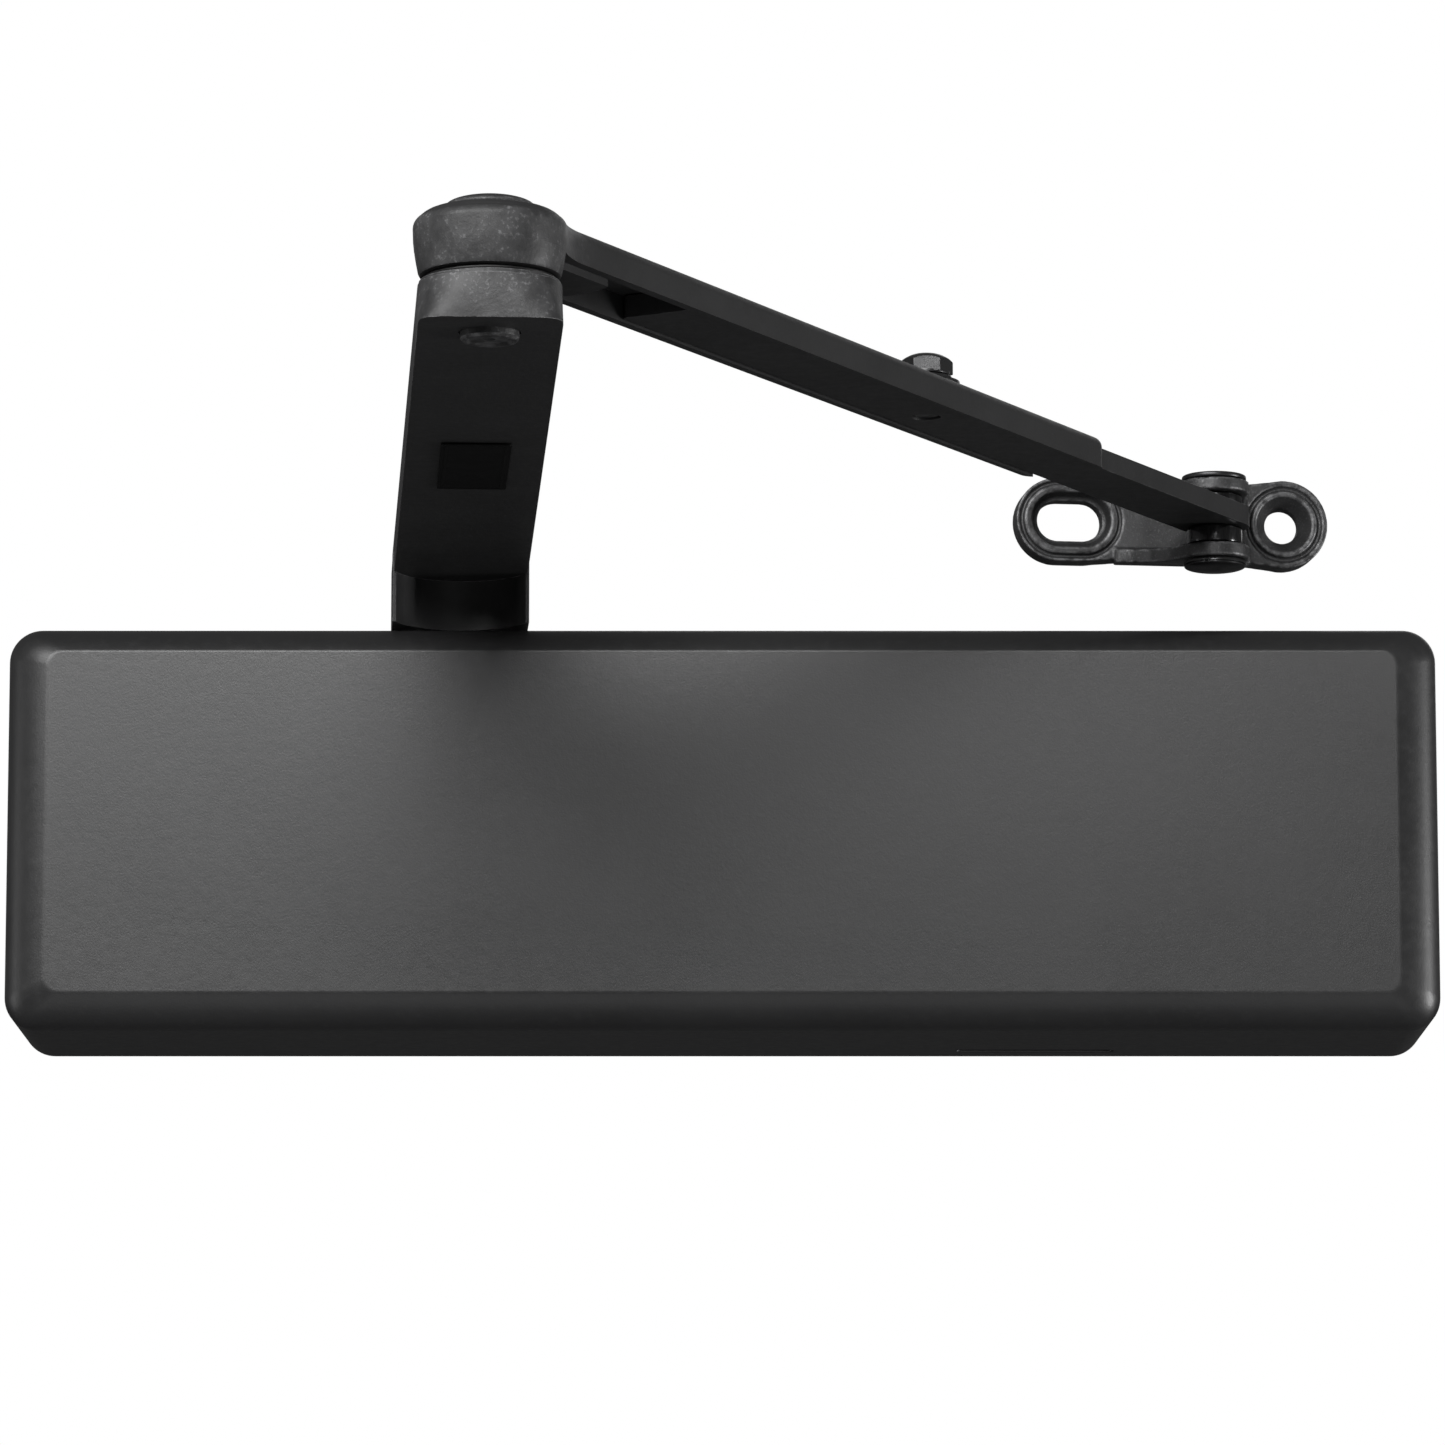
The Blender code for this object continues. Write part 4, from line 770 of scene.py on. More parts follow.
def build_cover():
    """Moulded cover with the spindle's notch, the catch slot and an eased rim."""
    skin = shown("skin", cover_skin())
    wall = skin.modifiers.new("wall", "SOLIDIFY")
    wall.thickness = COVER_WALL
    wall.offset = -1.0
    wall.use_even_offset = True
    cover = Solid(baked(skin))
    notch = arc((SPINDLE_AXIS.x, SPINDLE_AXIS.y), NOTCH_RADIUS, 180.0, 360.0, 40)
    notch += [(SPINDLE_AXIS.x + NOTCH_RADIUS, NOTCH_RADIUS),
              (SPINDLE_AXIS.x - NOTCH_RADIUS, NOTCH_RADIUS)]
    top = COVER_HIGH.z
    cover.cut(plate([notch], top - 2 * COVER_WALL, top + COVER_WALL))
    catch = cornered(CATCH_SLOT_LOW, CATCH_SLOT_HIGH, 1.2 * MM)
    cover.cut(plate([catch], -top - COVER_WALL, -top + 2 * COVER_WALL))
    fit("cover_moulding", cover.mesh(0.45 * MM, 3, 40.0), MOULDED, "cover")


def build_cover_ribs():
    """Stiffening ribs that run round the inside of the cover."""
    sink = 0.3 * MM
    height = 1.6 * MM
    thick = 1.4 * MM
    front = COVER_LOW.y + COVER_WALL
    ceiling = COVER_HIGH.z - COVER_WALL
    top_end = -7.0 * MM
    bottom_end = -17.0 * MM
    outer = [(top_end, ceiling + sink), (front - sink, ceiling + sink),
             (front - sink, -ceiling - sink), (bottom_end, -ceiling - sink)]
    inner = [(bottom_end, height - ceiling), (front + height, height - ceiling),
             (front + height, ceiling - height), (top_end, ceiling - height)]
    outline = softened(outer, 6.0 * MM, 8, closed=False)
    outline += softened(inner, 5.0 * MM, 8, closed=False)
    upright = Matrix(((0, 0, 1, 0), (1, 0, 0, 0), (0, 1, 0, 0), (0, 0, 0, 1)))
    rib = plate([outline], -thick / 2, thick / 2, upright)
    ribs = ranked(rib, RIB_FIRST, RIB_PITCH, RIBS, SPINDLE_AXIS.x, RIB_CLEARANCE, MOULDED)
    fit("cover_ribs", ribs, MOULDED, "cover", extra=True)


def build_cover_clips():
    """Bent leaf springs riveted to the feet; they grip the cover's ends."""
    for side, name in ((1.0, "cover_clip_right"), (-1.0, "cover_clip_left")):
        low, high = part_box(name)
        leaf = 0.9 * MM
        far = high.x if side > 0 else -low.x
        near = low.x if side > 0 else -high.x
        base = high.y
        tip = low.y
        outline = [(near, base), (far, base), (far, tip + 4.0 * MM), (far - 1.4 * MM, tip),
                   (far - 2.2 * MM, tip + 0.5 * MM), (far - leaf, tip + 4.4 * MM),
                   (far - leaf, base - leaf), (near, base - leaf)]
        outline = [(side * x, y) for x, y in softened(outline, 1.6 * MM, 6)]
        clip = Solid(plate([outline], low.z, high.z))
        head = softened(mm((0.0, 1.3), (2.5, 0.9), (2.7, -0.4), (0.0, -0.4)), 0.8 * MM, 5,
                        closed=False)
        spot = Vector((side * (near + 5.0 * MM), base - leaf, 0.0))
        clip.join(turned(head, laid(spot, "-Y"), 40))
        fit(name + "_leaf", clip.mesh(0.12 * MM, 2), SPRING_STEEL, name)


# ------------------------------------------------------------------- closer body
BARREL_RADIUS = 23.5 * MM
BORE_RADIUS = 19.0 * MM
BARREL_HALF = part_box("end_cap_right")[1].x - 3.0 * MM
FOOT_THICKNESS = 9.0 * MM
FOOT_HALF_HEIGHT = 22.0 * MM
FOOT_LENGTH = 30.0 * MM
BOSS_RADIUS = 19.0 * MM
BOSS_LOW = -37.0 * MM
GUSSET_LEG = 16.0 * MM
GUSSET_LEVEL = 19.0 * MM
GUSSET_HALF = 1.5 * MM
MOUNTING_X = 152.4 * MM
MOUNTING_Z = 9.525 * MM
MOUNTING_RADIUS = 3.6 * MM
POCKETS = 5
POCKET_PITCH = 52.0 * MM
POCKET_HALF = (20.0 * MM, 8.5 * MM)
SPRING_TURNS = 10
SPRING_RADIUS = 14.6 * MM
SPRING_WIRE = 2.6 * MM
VALVES = ("latch_valve", "sweep_valve", "backcheck_valve")
SIDES = (-1.0, 1.0)


def barrel_mesh(axis):
    """Barrel with collars at its ends and a cast step beside each."""
    waist = BARREL_RADIUS - 0.6 * MM
    end = BARREL_HALF + 0.3 * MM
    collar = 11.0 * MM
    step = 1.6 * MM
    profile = [(0.0, end), (BARREL_RADIUS, end), (BARREL_RADIUS, end - collar),
               (waist, end - collar - step), (waist, collar + step - end),
               (BARREL_RADIUS, collar - end), (BARREL_RADIUS, -end), (0.0, -end)]
    return turned(profile, axis, 120)


def build_closer_body():
    """Casting: barrel, spindle boss, saddle, feet, gussets and valve chest, all bored."""
    low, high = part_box("closer_body")
    axis = laid((0.0, BARREL_Y, 0.0), "X")
    body = Solid(barrel_mesh(axis))
    saddle = cornered((4.0 * MM - BARREL_HALF, -13.0 * MM), (BARREL_HALF - 4.0 * MM, 13.0 * MM),
                      3.0 * MM)
    body.join(plate([saddle], 0.0, -BARREL_Y - BORE_RADIUS - 1.0 * MM, UPRIGHT))
    for side in SIDES:
        ends = sorted((side * (high.x - FOOT_LENGTH), side * high.x))
        foot = cornered((ends[0], -FOOT_HALF_HEIGHT), (ends[1], FOOT_HALF_HEIGHT), 5.0 * MM)
        body.join(plate([foot], 0.0, FOOT_THICKNESS, UPRIGHT))
        for level in SIDES:
            root = side * (high.x - FOOT_LENGTH + 4.0 * MM)
            lean = [(root, 0.002), (root, GUSSET_LEG), (root - side * GUSSET_LEG, 0.002)]
            gusset = plate([lean], level * GUSSET_LEVEL - GUSSET_HALF,
                           level * GUSSET_LEVEL + GUSSET_HALF)
            gusset.transform(Matrix.Diagonal((1.0, -1.0, 1.0, 1.0)))
            tidy(gusset)
            body.join(gusset)
    chamfer = 1.0 * MM
    boss = [(0.0, high.z), (BOSS_RADIUS - chamfer, high.z), (BOSS_RADIUS, high.z - chamfer),
            (BOSS_RADIUS, BOSS_LOW + chamfer), (BOSS_RADIUS - chamfer, BOSS_LOW), (0.0, BOSS_LOW)]
    body.join(turned(boss, stand(SPINDLE_AXIS)))
    chest_x = (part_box("latch_valve")[0].x - 4.8 * MM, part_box("backcheck_valve")[1].x + 5.2 * MM)
    chest_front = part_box("latch_valve")[0].y + 2.0 * MM
    chest = cornered((chest_x[0], low.z), (chest_x[1], -16.0 * MM), 2.5 * MM)
    body.join(plate([chest], 20.0 * MM, -chest_front, UPRIGHT))
    body.cut(rod_between(BORE_RADIUS, -0.2, 0.2, place=axis))
    body.cut(rod_between(13.5 * MM, -0.06, 0.06, place=stand(SPINDLE_AXIS)))
    for side in SIDES:
        ends = sorted((side * BARREL_HALF, side * (BARREL_HALF + 5.0 * MM)))
        body.cut(rod_between(BARREL_RADIUS + 0.5 * MM, ends[0], ends[1], place=axis))
    for name in VALVES:
        spot = middle(name)
        spot.y = chest_front
        body.cut(rod_between(3.3 * MM, -18.0 * MM, 5.0 * MM, place=laid(spot, "-Y"), steps=48))
        sink = mm((0.0, 0.5), (4.6, 0.5), (3.2, -0.9), (0.0, -0.9))
        body.cut(turned(sink, laid(spot, "-Y"), 48))
    for side in SIDES:
        for level in SIDES:
            drill = laid(Vector((side * MOUNTING_X, 0.0, level * MOUNTING_Z)), "-Y")
            body.cut(rod_between(MOUNTING_RADIUS, -0.02, 0.02, place=drill, steps=48))
            body.cut(rod_between(6.4 * MM, 7.6 * MM, 0.02, place=drill, steps=48))
    half, rise = POCKET_HALF
    for index in range(POCKETS):
        across = (index - POCKETS // 2) * POCKET_PITCH
        pocket = cornered((across - half, -rise), (across + half, rise), 4.0 * MM)
        body.cut(plate([pocket], -1.0 * MM, 2.6 * MM, UPRIGHT))
    fit("body_shell", body.mesh(0.7 * MM, 3), CASTING, "closer_body")


def build_end_caps():
    """Screwed plugs with spanner holes; the right one lets the adjuster through."""
    for side, way, label in ((-1.0, "-X", "left"), (1.0, "X", "right")):
        top = 3.0 * MM
        plug = BORE_RADIUS - 0.3 * MM
        flange = BARREL_RADIUS - 1.0 * MM
        hole = 5.3 * MM if label == "right" else 0.0
        profile = [(hole, top - 1.2 * MM), (10.0 * MM, top - 1.2 * MM), (11.0 * MM, top),
                   (flange - 1.2 * MM, top), (flange, top - 1.2 * MM), (flange, 0.3 * MM),
                   (plug, 0.3 * MM), (plug, -5.0 * MM), (plug - 2.4 * MM, -5.0 * MM),
                   (plug - 2.4 * MM, -8.0 * MM), (plug, -8.0 * MM), (plug, -13.3 * MM),
                   (plug - 0.7 * MM, -14.0 * MM), (hole, -14.0 * MM)]
        place = laid((side * BARREL_HALF, BARREL_Y, 0.0), way)
        cap = Solid(turned(profile, place, closed=label == "right"))
        for turn in SIDES:
            spanner = Matrix.Translation((0.0, turn * 15.5 * MM, 0.0))
            cap.cut(rod_between(1.9 * MM, -3.0 * MM, 6.0 * MM, place=place @ spanner, steps=32))
        fit("end_cap_" + label + "_plug", cap.mesh(0.25 * MM, 2), CASTING, "end_cap_" + label)


def build_spindle_rings():
    """The notched nut above the boss and the cap below it."""
    low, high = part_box("spindle_nut")
    outer = (high.x - low.x) / 2
    place = stand(SPINDLE_AXIS)
    nut = Solid(washer(9.3 * MM, outer, low.z, high.z, 0.6 * MM, place))
    for index in range(4):
        slot = place @ Matrix.Rotation(index * pi / 2 + 0.4, 4, "Z")
        nut.cut(block((11.2 * MM, -1.5 * MM, high.z - 2.4 * MM),
                      (16.0 * MM, 1.5 * MM, high.z + 1.0 * MM), slot))
    fit("spindle_nut_notched", nut.mesh(0.2 * MM, 2), BRIGHT_STEEL, "spindle_nut")
    low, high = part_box("lower_cap")
    flange = (high.x - low.x) / 2
    waist = 13.2 * MM
    seat = low.z + 3.0 * MM
    profile = [(0.0, high.z), (waist, high.z), (waist, seat), (flange, seat),
               (flange, low.z + 0.9 * MM), (flange - 0.9 * MM, low.z), (0.0, low.z)]
    cap = Solid(turned(softened(profile, 0.4 * MM, 3, closed=False), place))
    socket = circle((0.0, 0.0), 7.0 * MM, 6)
    cap.cut(plate([socket], low.z - 1.0 * MM, low.z + 2.2 * MM, place))
    fit("lower_cap_plug", cap.mesh(0.25 * MM, 2), CASTING, "lower_cap")


def build_valves():
    """Brass speed valves with a screwdriver slot and a grooved head."""
    for name in VALVES:
        low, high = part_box(name)
        radius = (high.x - low.x) / 2
        reach = high.y - low.y
        spot = Vector((middle(name).x, low.y, middle(name).z))
        profile = [(0.0, 0.0), (radius - 0.5 * MM, 0.0), (radius, -0.5 * MM),
                   (radius, -2.6 * MM), (radius - 0.45 * MM, -3.0 * MM),
                   (radius - 0.45 * MM, -4.2 * MM), (radius, -4.6 * MM),
                   (radius, 6.0 * MM - reach), (0.0, -reach)]
        valve = Solid(turned(profile, laid(spot, "-Y"), 64))
        slot = laid(spot, "-Y") @ Matrix.Rotation(radians(35.0), 4, "Z")
        valve.cut(block((-4.0 * MM, -0.45 * MM, -1.3 * MM), (4.0 * MM, 0.45 * MM, 1.0 * MM), slot))
        fit(name + "_screw", valve.mesh(0.1 * MM, 2), BRASS, name)


def build_spring():
    """Compression spring between the piston and its seat, end turns closed."""
    low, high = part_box("main_spring")
    length = high.x - low.x - 2 * SPRING_WIRE
    wound = coil(SPRING_TURNS, SPRING_RADIUS, SPRING_WIRE, length, 1.0, SPRING_STEEL, facets=20)
    wound.transform(Matrix.Translation((low.x + SPRING_WIRE, BARREL_Y, 0.0)))
    fit("main_spring_coil", wound, SPRING_STEEL, "main_spring")


# ------------------------------------------------------------------------ screws
def hex_head(radius, low, high, place, crown=0.8 * MM):
    """A hexagon head with a crowned or hollowed top and a washer face below."""
    head = Solid(plate([softened(circle((0.0, 0.0), radius, 6), 0.25 * MM, 3)],
                       low + 0.25 * MM, high, place))
    flat = 0.25 * radius if crown > 1.0 * MM else radius - 1.4 * MM
    dome = [(0.0, high)]
    for step in range(11):
        share = step / 10
        dome.append((flat + (radius + 0.1 * MM - flat) * share, high - crown * share * share))
    dome += [(radius + 0.1 * MM, low - 1.0 * MM), (0.0, low - 1.0 * MM)]
    head.trim(turned(dome, place))
    face = [(0.0, low + 0.6 * MM), (0.90 * radius, low + 0.6 * MM), (0.90 * radius, low),
            (0.0, low)]
    head.join(turned(face, place))
    if crown < 1.0 * MM:
        dish = [(0.0, high + 1.0 * MM), (radius - 2.4 * MM, high + 1.0 * MM),
                (radius - 2.6 * MM, high - 0.3 * MM), (0.0, high - 0.3 * MM)]
        head.cut(turned(dish, place))
    return head.mesh(0.18 * MM, 3)


def build_screws():
    """Arm screw, clamp screw and spring adjuster, each with its wound thread."""
    rows = (
        ("arm_screw", "arm_washer", 3.2 * MM, 6.4 * MM, AT_SPINDLE, 0.0, 0.8 * MM),
        ("clamp_screw", "clamp_washer", 3.0 * MM, 5.9 * MM, AT_CLAMP, 30.0, 2.0 * MM),
    )
    for node, below, radius, hexagon, place, turn, crown in rows:
        seat = top_of(below) + PIECE_GAP
        shank = threaded(radius, floor_of(node), seat + 0.4 * MM, 1.0 * MM, BRIGHT_STEEL)
        shank.transform(place)
        head = hex_head(hexagon, seat, top_of(node),
                        place @ Matrix.Rotation(radians(turn), 4, "Z"), crown)
        fit(node + "_hex", merged(head, shank), DARK_STEEL, node)
    low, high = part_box("spring_adjuster")
    place = laid((0.0, BARREL_Y, 0.0), "X")
    seat = high.x - 5.0 * MM
    shank = threaded(5.0 * MM, low.x, seat + 0.4 * MM, 1.5 * MM, BRIGHT_STEEL)
    shank.transform(place)
    fit("spring_adjuster_hex", merged(hex_head(7.0 * MM, seat, high.x, place), shank),
        BRIGHT_STEEL, "spring_adjuster")


def build_washers():
    """Flat washers, bushings and the ring that the shoe's pin is riveted over."""
    rows = (  # node, bore, outside, place, look
        ("arm_washer", 3.5 * MM, 9.0 * MM, AT_SPINDLE, DARK_STEEL),
        ("elbow_washer", 6.2 * MM, 13.3 * MM, AT_ELBOW, BLACK_OXIDE),
        ("shoe_pin_ring", 4.3 * MM, 7.6 * MM, AT_SHOE, DARK_STEEL),
        ("upper_bushing", 4.3 * MM, 6.5 * MM, AT_SHOE, BUSH_STEEL),
        ("lower_bushing", 4.3 * MM, 6.5 * MM, AT_SHOE, BUSH_STEEL),
    )
    for node, bore, outer, place, look in rows:
        low, high = heights(node)
        ease = min(0.45 * MM, 0.4 * (high - low))
        ring = washer(bore, outer, low, high, ease, place)
        fit(node + "_round", ring, look, node, sharp=50.0)


def build_clamp_washers():
    """Flat washer with a spring washer on it, under the clamp screw's head."""
    low, high = heights("clamp_washer")
    middle_level = (low + high) / 2
    bore = 3.3 * MM
    profile = [(bore, high), (5.7 * MM, high), (5.7 * MM, middle_level + 0.1 * MM),
               (7.4 * MM, middle_level), (7.4 * MM, low), (bore, low)]
    pair = turned(softened(profile, 0.35 * MM, 4), AT_CLAMP, closed=True)
    fit("clamp_washer_pair", pair, DARK_STEEL, "clamp_washer", sharp=50.0)


# ---------------------------------------------------------------------- main arm
BAR_LOW = top_of("arm_label") + PIECE_GAP
BAR_TOP = floor_of("arm_washer") - PIECE_GAP
HUB_HALF = 15.8 * MM
HUB_REACH = 27.0 * MM
HUB_SCOOP = 11.5 * MM
ELBOW_HALF = 14.35 * MM
ARM_OVERHANG = 14.6 * MM
SQUARE_HALF = 6.3 * MM
KNUCKLE_FOOT = 14.1 * MM


def arm_bar_ring(height, power):
    """Plan of the bar: round at the hub; past the elbow, squarer with a higher power."""
    points = arc((0.0, 0.0), HUB_HALF - 0.2 * MM, 0.0, 180.0, 48)
    for step in range(61):
        angle = pi + pi * step / 60
        across = abs(cos(angle)) ** (2.0 / power) * ELBOW_HALF
        along = abs(sin(angle)) ** (2.0 / power) * ARM_OVERHANG
        points.append((-across if step < 30 else across, -ARM_LENGTH - along))
    return [(x, y, height) for x, y in points]


def arm_hub_outline():
    """Plan of the hub under the bar: its elbow side is scooped out."""
    chord = HUB_HALF - 0.8 * MM
    radius = (chord ** 2 + HUB_SCOOP ** 2) / (2 * HUB_SCOOP)
    centre = -HUB_REACH + HUB_SCOOP - radius
    spread = degrees(acos((-HUB_REACH - centre) / radius))
    points = arc((0.0, 0.0), HUB_HALF, 0.0, 180.0, 48)
    points.append((-HUB_HALF, -HUB_REACH))
    points += arc((0.0, centre), radius, 90.0 + spread, 90.0 - spread, 36)
    points.append((HUB_HALF, -HUB_REACH))
    return points


def build_main_arm():
    """Forged main arm with its hub and elbow knuckle."""
    inside = (BAR_LOW + BAR_TOP) / 2
    powers = ((0.0, 7.0), (0.12, 6.0), (0.30, 4.6), (0.55, 3.4), (0.80, 2.7), (1.0, 2.35))
    rings = [arm_bar_ring(BAR_LOW + (BAR_TOP - BAR_LOW) * share, power) for share, power in powers]
    arm = Solid(lofted(rings, AT_SPINDLE))
    arm.join(plate([arm_hub_outline()], floor_of("main_arm"), inside, AT_SPINDLE))
    knuckle = [(0.0, top_of("main_arm")), (KNUCKLE_FOOT, top_of("main_arm")),
               (KNUCKLE_FOOT, inside), (0.0, inside)]
    arm.join(turned(knuckle, AT_ELBOW))
    arm.cut(block((-SQUARE_HALF, -SQUARE_HALF, 0.03), (SQUARE_HALF, SQUARE_HALF, 0.09),
                  AT_SPINDLE))
    arm.cut(rod_between(6.2 * MM, 0.04, 0.1, place=AT_ELBOW))
    fit("main_arm_forging", arm.mesh(0.65 * MM, 3), ARM_PAINT, "main_arm")


def build_arm_label():
    """Blank film label under the bar, with a thin raised border."""
    low, high = heights("arm_label")

    def oblong(inset, radius):
        half = (7.5 * MM - inset, 24.0 * MM - inset)
        return cornered((-half[0], -152.0 * MM - half[1]), (half[0], half[1] - 152.0 * MM), radius)

    label = Solid(plate([oblong(0.0, 0.8 * MM)], low + 0.08 * MM, high, AT_SPINDLE))
    border = [oblong(0.9 * MM, 0.6 * MM), oblong(1.4 * MM, 0.5 * MM)]
    label.join(plate(border, low, high - 0.1 * MM, AT_SPINDLE))
    fit("arm_label_film", label.mesh(0.03 * MM, 2), LABEL, "arm_label")


# ------------------------------------------------------------- elbow and forearm
ROD_HALF = 8.25 * MM
ROD_TAIL = 264.5 * MM
FOREARM_LOW = floor_of("rod") - 0.5 * MM
FOREARM_TOP = top_of("rod") + 1.9 * MM
FOREARM_LENGTH = 254.0 * MM
FOREARM_NEAR = 11.0 * MM
FOREARM_FAR = 10.1 * MM
FOREARM_ROUNDING = 2.4 * MM
FOREARM_FILLET = 30.0 * MM
FOREARM_END_CORNER = 4.0 * MM
KNUCKLE_RADIUS = 15.35 * MM


def build_elbow():
    """Pivot pin with its rimmed foot, and the domed cap on top."""
    low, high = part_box("elbow_pin")
    radius = 5.9 * MM
    rim = 0.9 * MM
    profile = [(0.0, high.z), (radius - 0.4 * MM, high.z), (radius, high.z - 0.4 * MM),
               (radius, low.z + 0.7 * MM), (radius - 0.5 * MM, low.z),
               (radius - rim - 0.4 * MM, low.z), (radius - rim - 0.9 * MM, low.z + 0.45 * MM),
               (1.2 * MM, low.z + 0.45 * MM), (0.6 * MM, low.z + 0.9 * MM),
               (0.0, low.z + 1.0 * MM)]
    pin = turned(softened(profile, 0.25 * MM, 3, closed=False), AT_ELBOW)
    # The foot is marked so that it takes the arm's pale edge patches: a painted glint on its rim.
    mark_edges_and_glints(pin, "FACE", [float(face.center.z < low.z + 0.5 * MM) for face in pin.polygons])
    fit("elbow_pin_rimmed", pin, ARM_PAINT, "elbow_pin", sharp=60.0)
    low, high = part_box("elbow_cap")
    radius = 9.0 * MM
    skirt = 0.5 * MM
    rise = high.z - low.z - skirt
    dome = [(0.0, high.z)]
    for step in range(1, 19):
        angle = radians(90.0 * step / 18)
        dome.append((radius * sin(angle), high.z - rise * (1.0 - cos(angle))))
    dome += [(radius, low.z + 0.15 * MM), (radius - 0.15 * MM, low.z), (0.0, low.z)]
    fit("elbow_cap_dome", turned(dome, AT_ELBOW), ARM_PAINT, "elbow_cap", sharp=60.0)


def knuckle_radius(height):
    """The forearm's knuckle widens upwards."""
    low = floor_of("forearm")
    share = min(1.0, max(0.0, (height - low) / (9.5 * MM)))
    return KNUCKLE_FOOT + (KNUCKLE_RADIUS - KNUCKLE_FOOT) * sin(share * pi / 2)


def forearm_ring(inset, height):
    """Plan of the forearm: knuckle, long fillets into the bar, rounded far corners."""
    radius = knuckle_radius(height)
    centre = FOREARM_NEAR + FOREARM_FILLET
    rise = sqrt((radius + FOREARM_FILLET) ** 2 - centre ** 2)
    lean = degrees(atan2(rise, centre))
    corner = FOREARM_END_CORNER
    far = FOREARM_LENGTH - corner
    points = arc((0.0, 0.0), radius - inset, 180.0 - lean, 360.0 + lean, 72)
    points += arc((centre, rise), FOREARM_FILLET + inset, 180.0 + lean, 180.0, 14)[1:]
    points += arc((FOREARM_FAR - corner, far), corner - inset, 0.0, 90.0, 8)
    points += arc((corner - FOREARM_FAR, far), corner - inset, 90.0, 180.0, 8)
    points += arc((-centre, rise), FOREARM_FILLET + inset, 0.0, -lean, 14)[:-1]
    return [(x, y, height) for x, y in points]


def build_forearm():
    """Pressed channel that grows out of a round, heavily eased knuckle."""
    low = floor_of("forearm")
    rings = [forearm_ring(0.0, FOREARM_LOW), forearm_ring(0.0, FOREARM_LOW + 2.0 * MM)]
    for step in range(9):
        turn = radians(90.0 * step / 8)
        rings.append(forearm_ring(FOREARM_ROUNDING * (1.0 - cos(turn)),
                                  FOREARM_TOP - FOREARM_ROUNDING * (1.0 - sin(turn))))
    forearm = Solid(lofted(rings, AT_ELBOW))
    crown = top_of("forearm")
    round_over = 4.6 * MM
    knuckle = [(0.0, crown), (KNUCKLE_RADIUS - round_over - 1.4 * MM, crown)]
    knuckle += [(KNUCKLE_RADIUS - round_over + round_over * sin(radians(9.0 * step)),
                 crown - 0.05 * MM - round_over * (1.0 - cos(radians(9.0 * step))))
                for step in range(1, 9)]
    knuckle += [(knuckle_radius(FOREARM_LOW + 1.0 * MM) - 0.2 * MM, FOREARM_LOW + 1.0 * MM),
                (knuckle_radius(FOREARM_LOW) - 0.02 * MM, FOREARM_LOW + 0.1 * MM)]
    for step in range(1, 6):
        height = FOREARM_LOW + (low + 0.9 * MM - FOREARM_LOW) * step / 5
        knuckle.append((knuckle_radius(height) - 0.02 * MM, height))
    knuckle += [(KNUCKLE_FOOT - 0.1 * MM, low + 0.4 * MM), (KNUCKLE_FOOT - 0.8 * MM, low),
                (0.0, low)]
    forearm.join(turned(knuckle, AT_ELBOW, 120))
    half = ROD_HALF + PIECE_GAP
    channel = [(-half, 0.40), (-half, 24.0 * MM), (half, 24.0 * MM), (half, 0.40)]
    forearm.cut(plate([softened(channel, 3.0 * MM, 5)], 0.06, top_of("rod") + PIECE_GAP, AT_ELBOW))
    pad = mm((-10.5, 4.0), (8.6, 4.0), (8.6, 27.0))
    pad += arc((-0.95 * MM, 20.0 * MM), 15.0 * MM, 50.5, 129.5, 18) + mm((-10.5, 27.0))
    forearm.join(plate([pad], FOREARM_LOW - 1.5 * MM, FOREARM_LOW + 0.12 * MM, AT_ELBOW))
    forearm.cut(rod_between(6.2 * MM, 0.05, 0.1, place=AT_ELBOW))
    slot = [(y, x) for x, y in stadium((CLAMP_REACH + 5.0 * MM, 0.0), 86.6 * MM, 6.6 * MM)]
    forearm.cut(plate([slot], FOREARM_TOP - 4.0 * MM, 0.1, AT_ELBOW))
    fit("forearm_channel", forearm.mesh(0.55 * MM, 3), ARM_PAINT, "forearm")


def build_rod():
    """Flat adjusting rod with a round end and two holes."""
    corner = 1.5 * MM
    tail = corner - ROD_TAIL
    outline = arc((0.0, 0.0), ROD_HALF, 0.0, 180.0, 40)
    outline += arc((corner - ROD_HALF, tail), corner, 180.0, 270.0, 6)
    outline += arc((ROD_HALF - corner, tail), corner, 270.0, 360.0, 6)
    holes = [circle((0.0, 0.0), 4.3 * MM), circle((0.0, CLAMP_REACH - FOREARM_REACH), 3.15 * MM)]
    rod = Solid(plate([outline] + holes, floor_of("rod"), top_of("rod"), AT_ROD_END))
    fit("adjusting_rod", rod.mesh(0.45 * MM, 3), ARM_PAINT, "rod")


# -------------------------------------------------------------------------- shoe
PLATE_MIDDLE = 80.55 * MM
PLATE_FRONT = 15.5 * MM
PLATE_BACK = 22.0 * MM
HOLE_X = 19.8 * MM
SLOT_X = -31.6 * MM
HOLE_RADIUS = 4.1 * MM
SLOT_LENGTH = 15.6 * MM
SLOT_WIDTH = 9.6 * MM
PIN_RADIUS = 4.0 * MM
CAST_GRAIN = 0.34 * MM


def shoe_plate_outline():
    """Front view of the plate: a round lobe, a long lobe and a waist between."""
    reach = (SLOT_LENGTH - SLOT_WIDTH) / 2
    right = arc((HOLE_X, 0.0), 10.6 * MM, -104.0, 104.0, 60)
    waist = mm((9.0, 9.3), (0.0, 8.7), (-10.0, 8.6), (-20.0, 9.3))
    left = arc((SLOT_X + reach, 0.0), 10.1 * MM, 78.0, 90.0, 4)
    left += arc((SLOT_X - reach, 0.0), 10.1 * MM, 90.0, 270.0, 54)
    left += arc((SLOT_X + reach, 0.0), 10.1 * MM, 270.0, 282.0, 4)
    return right + waist + left + [(x, -z) for x, z in reversed(waist)]


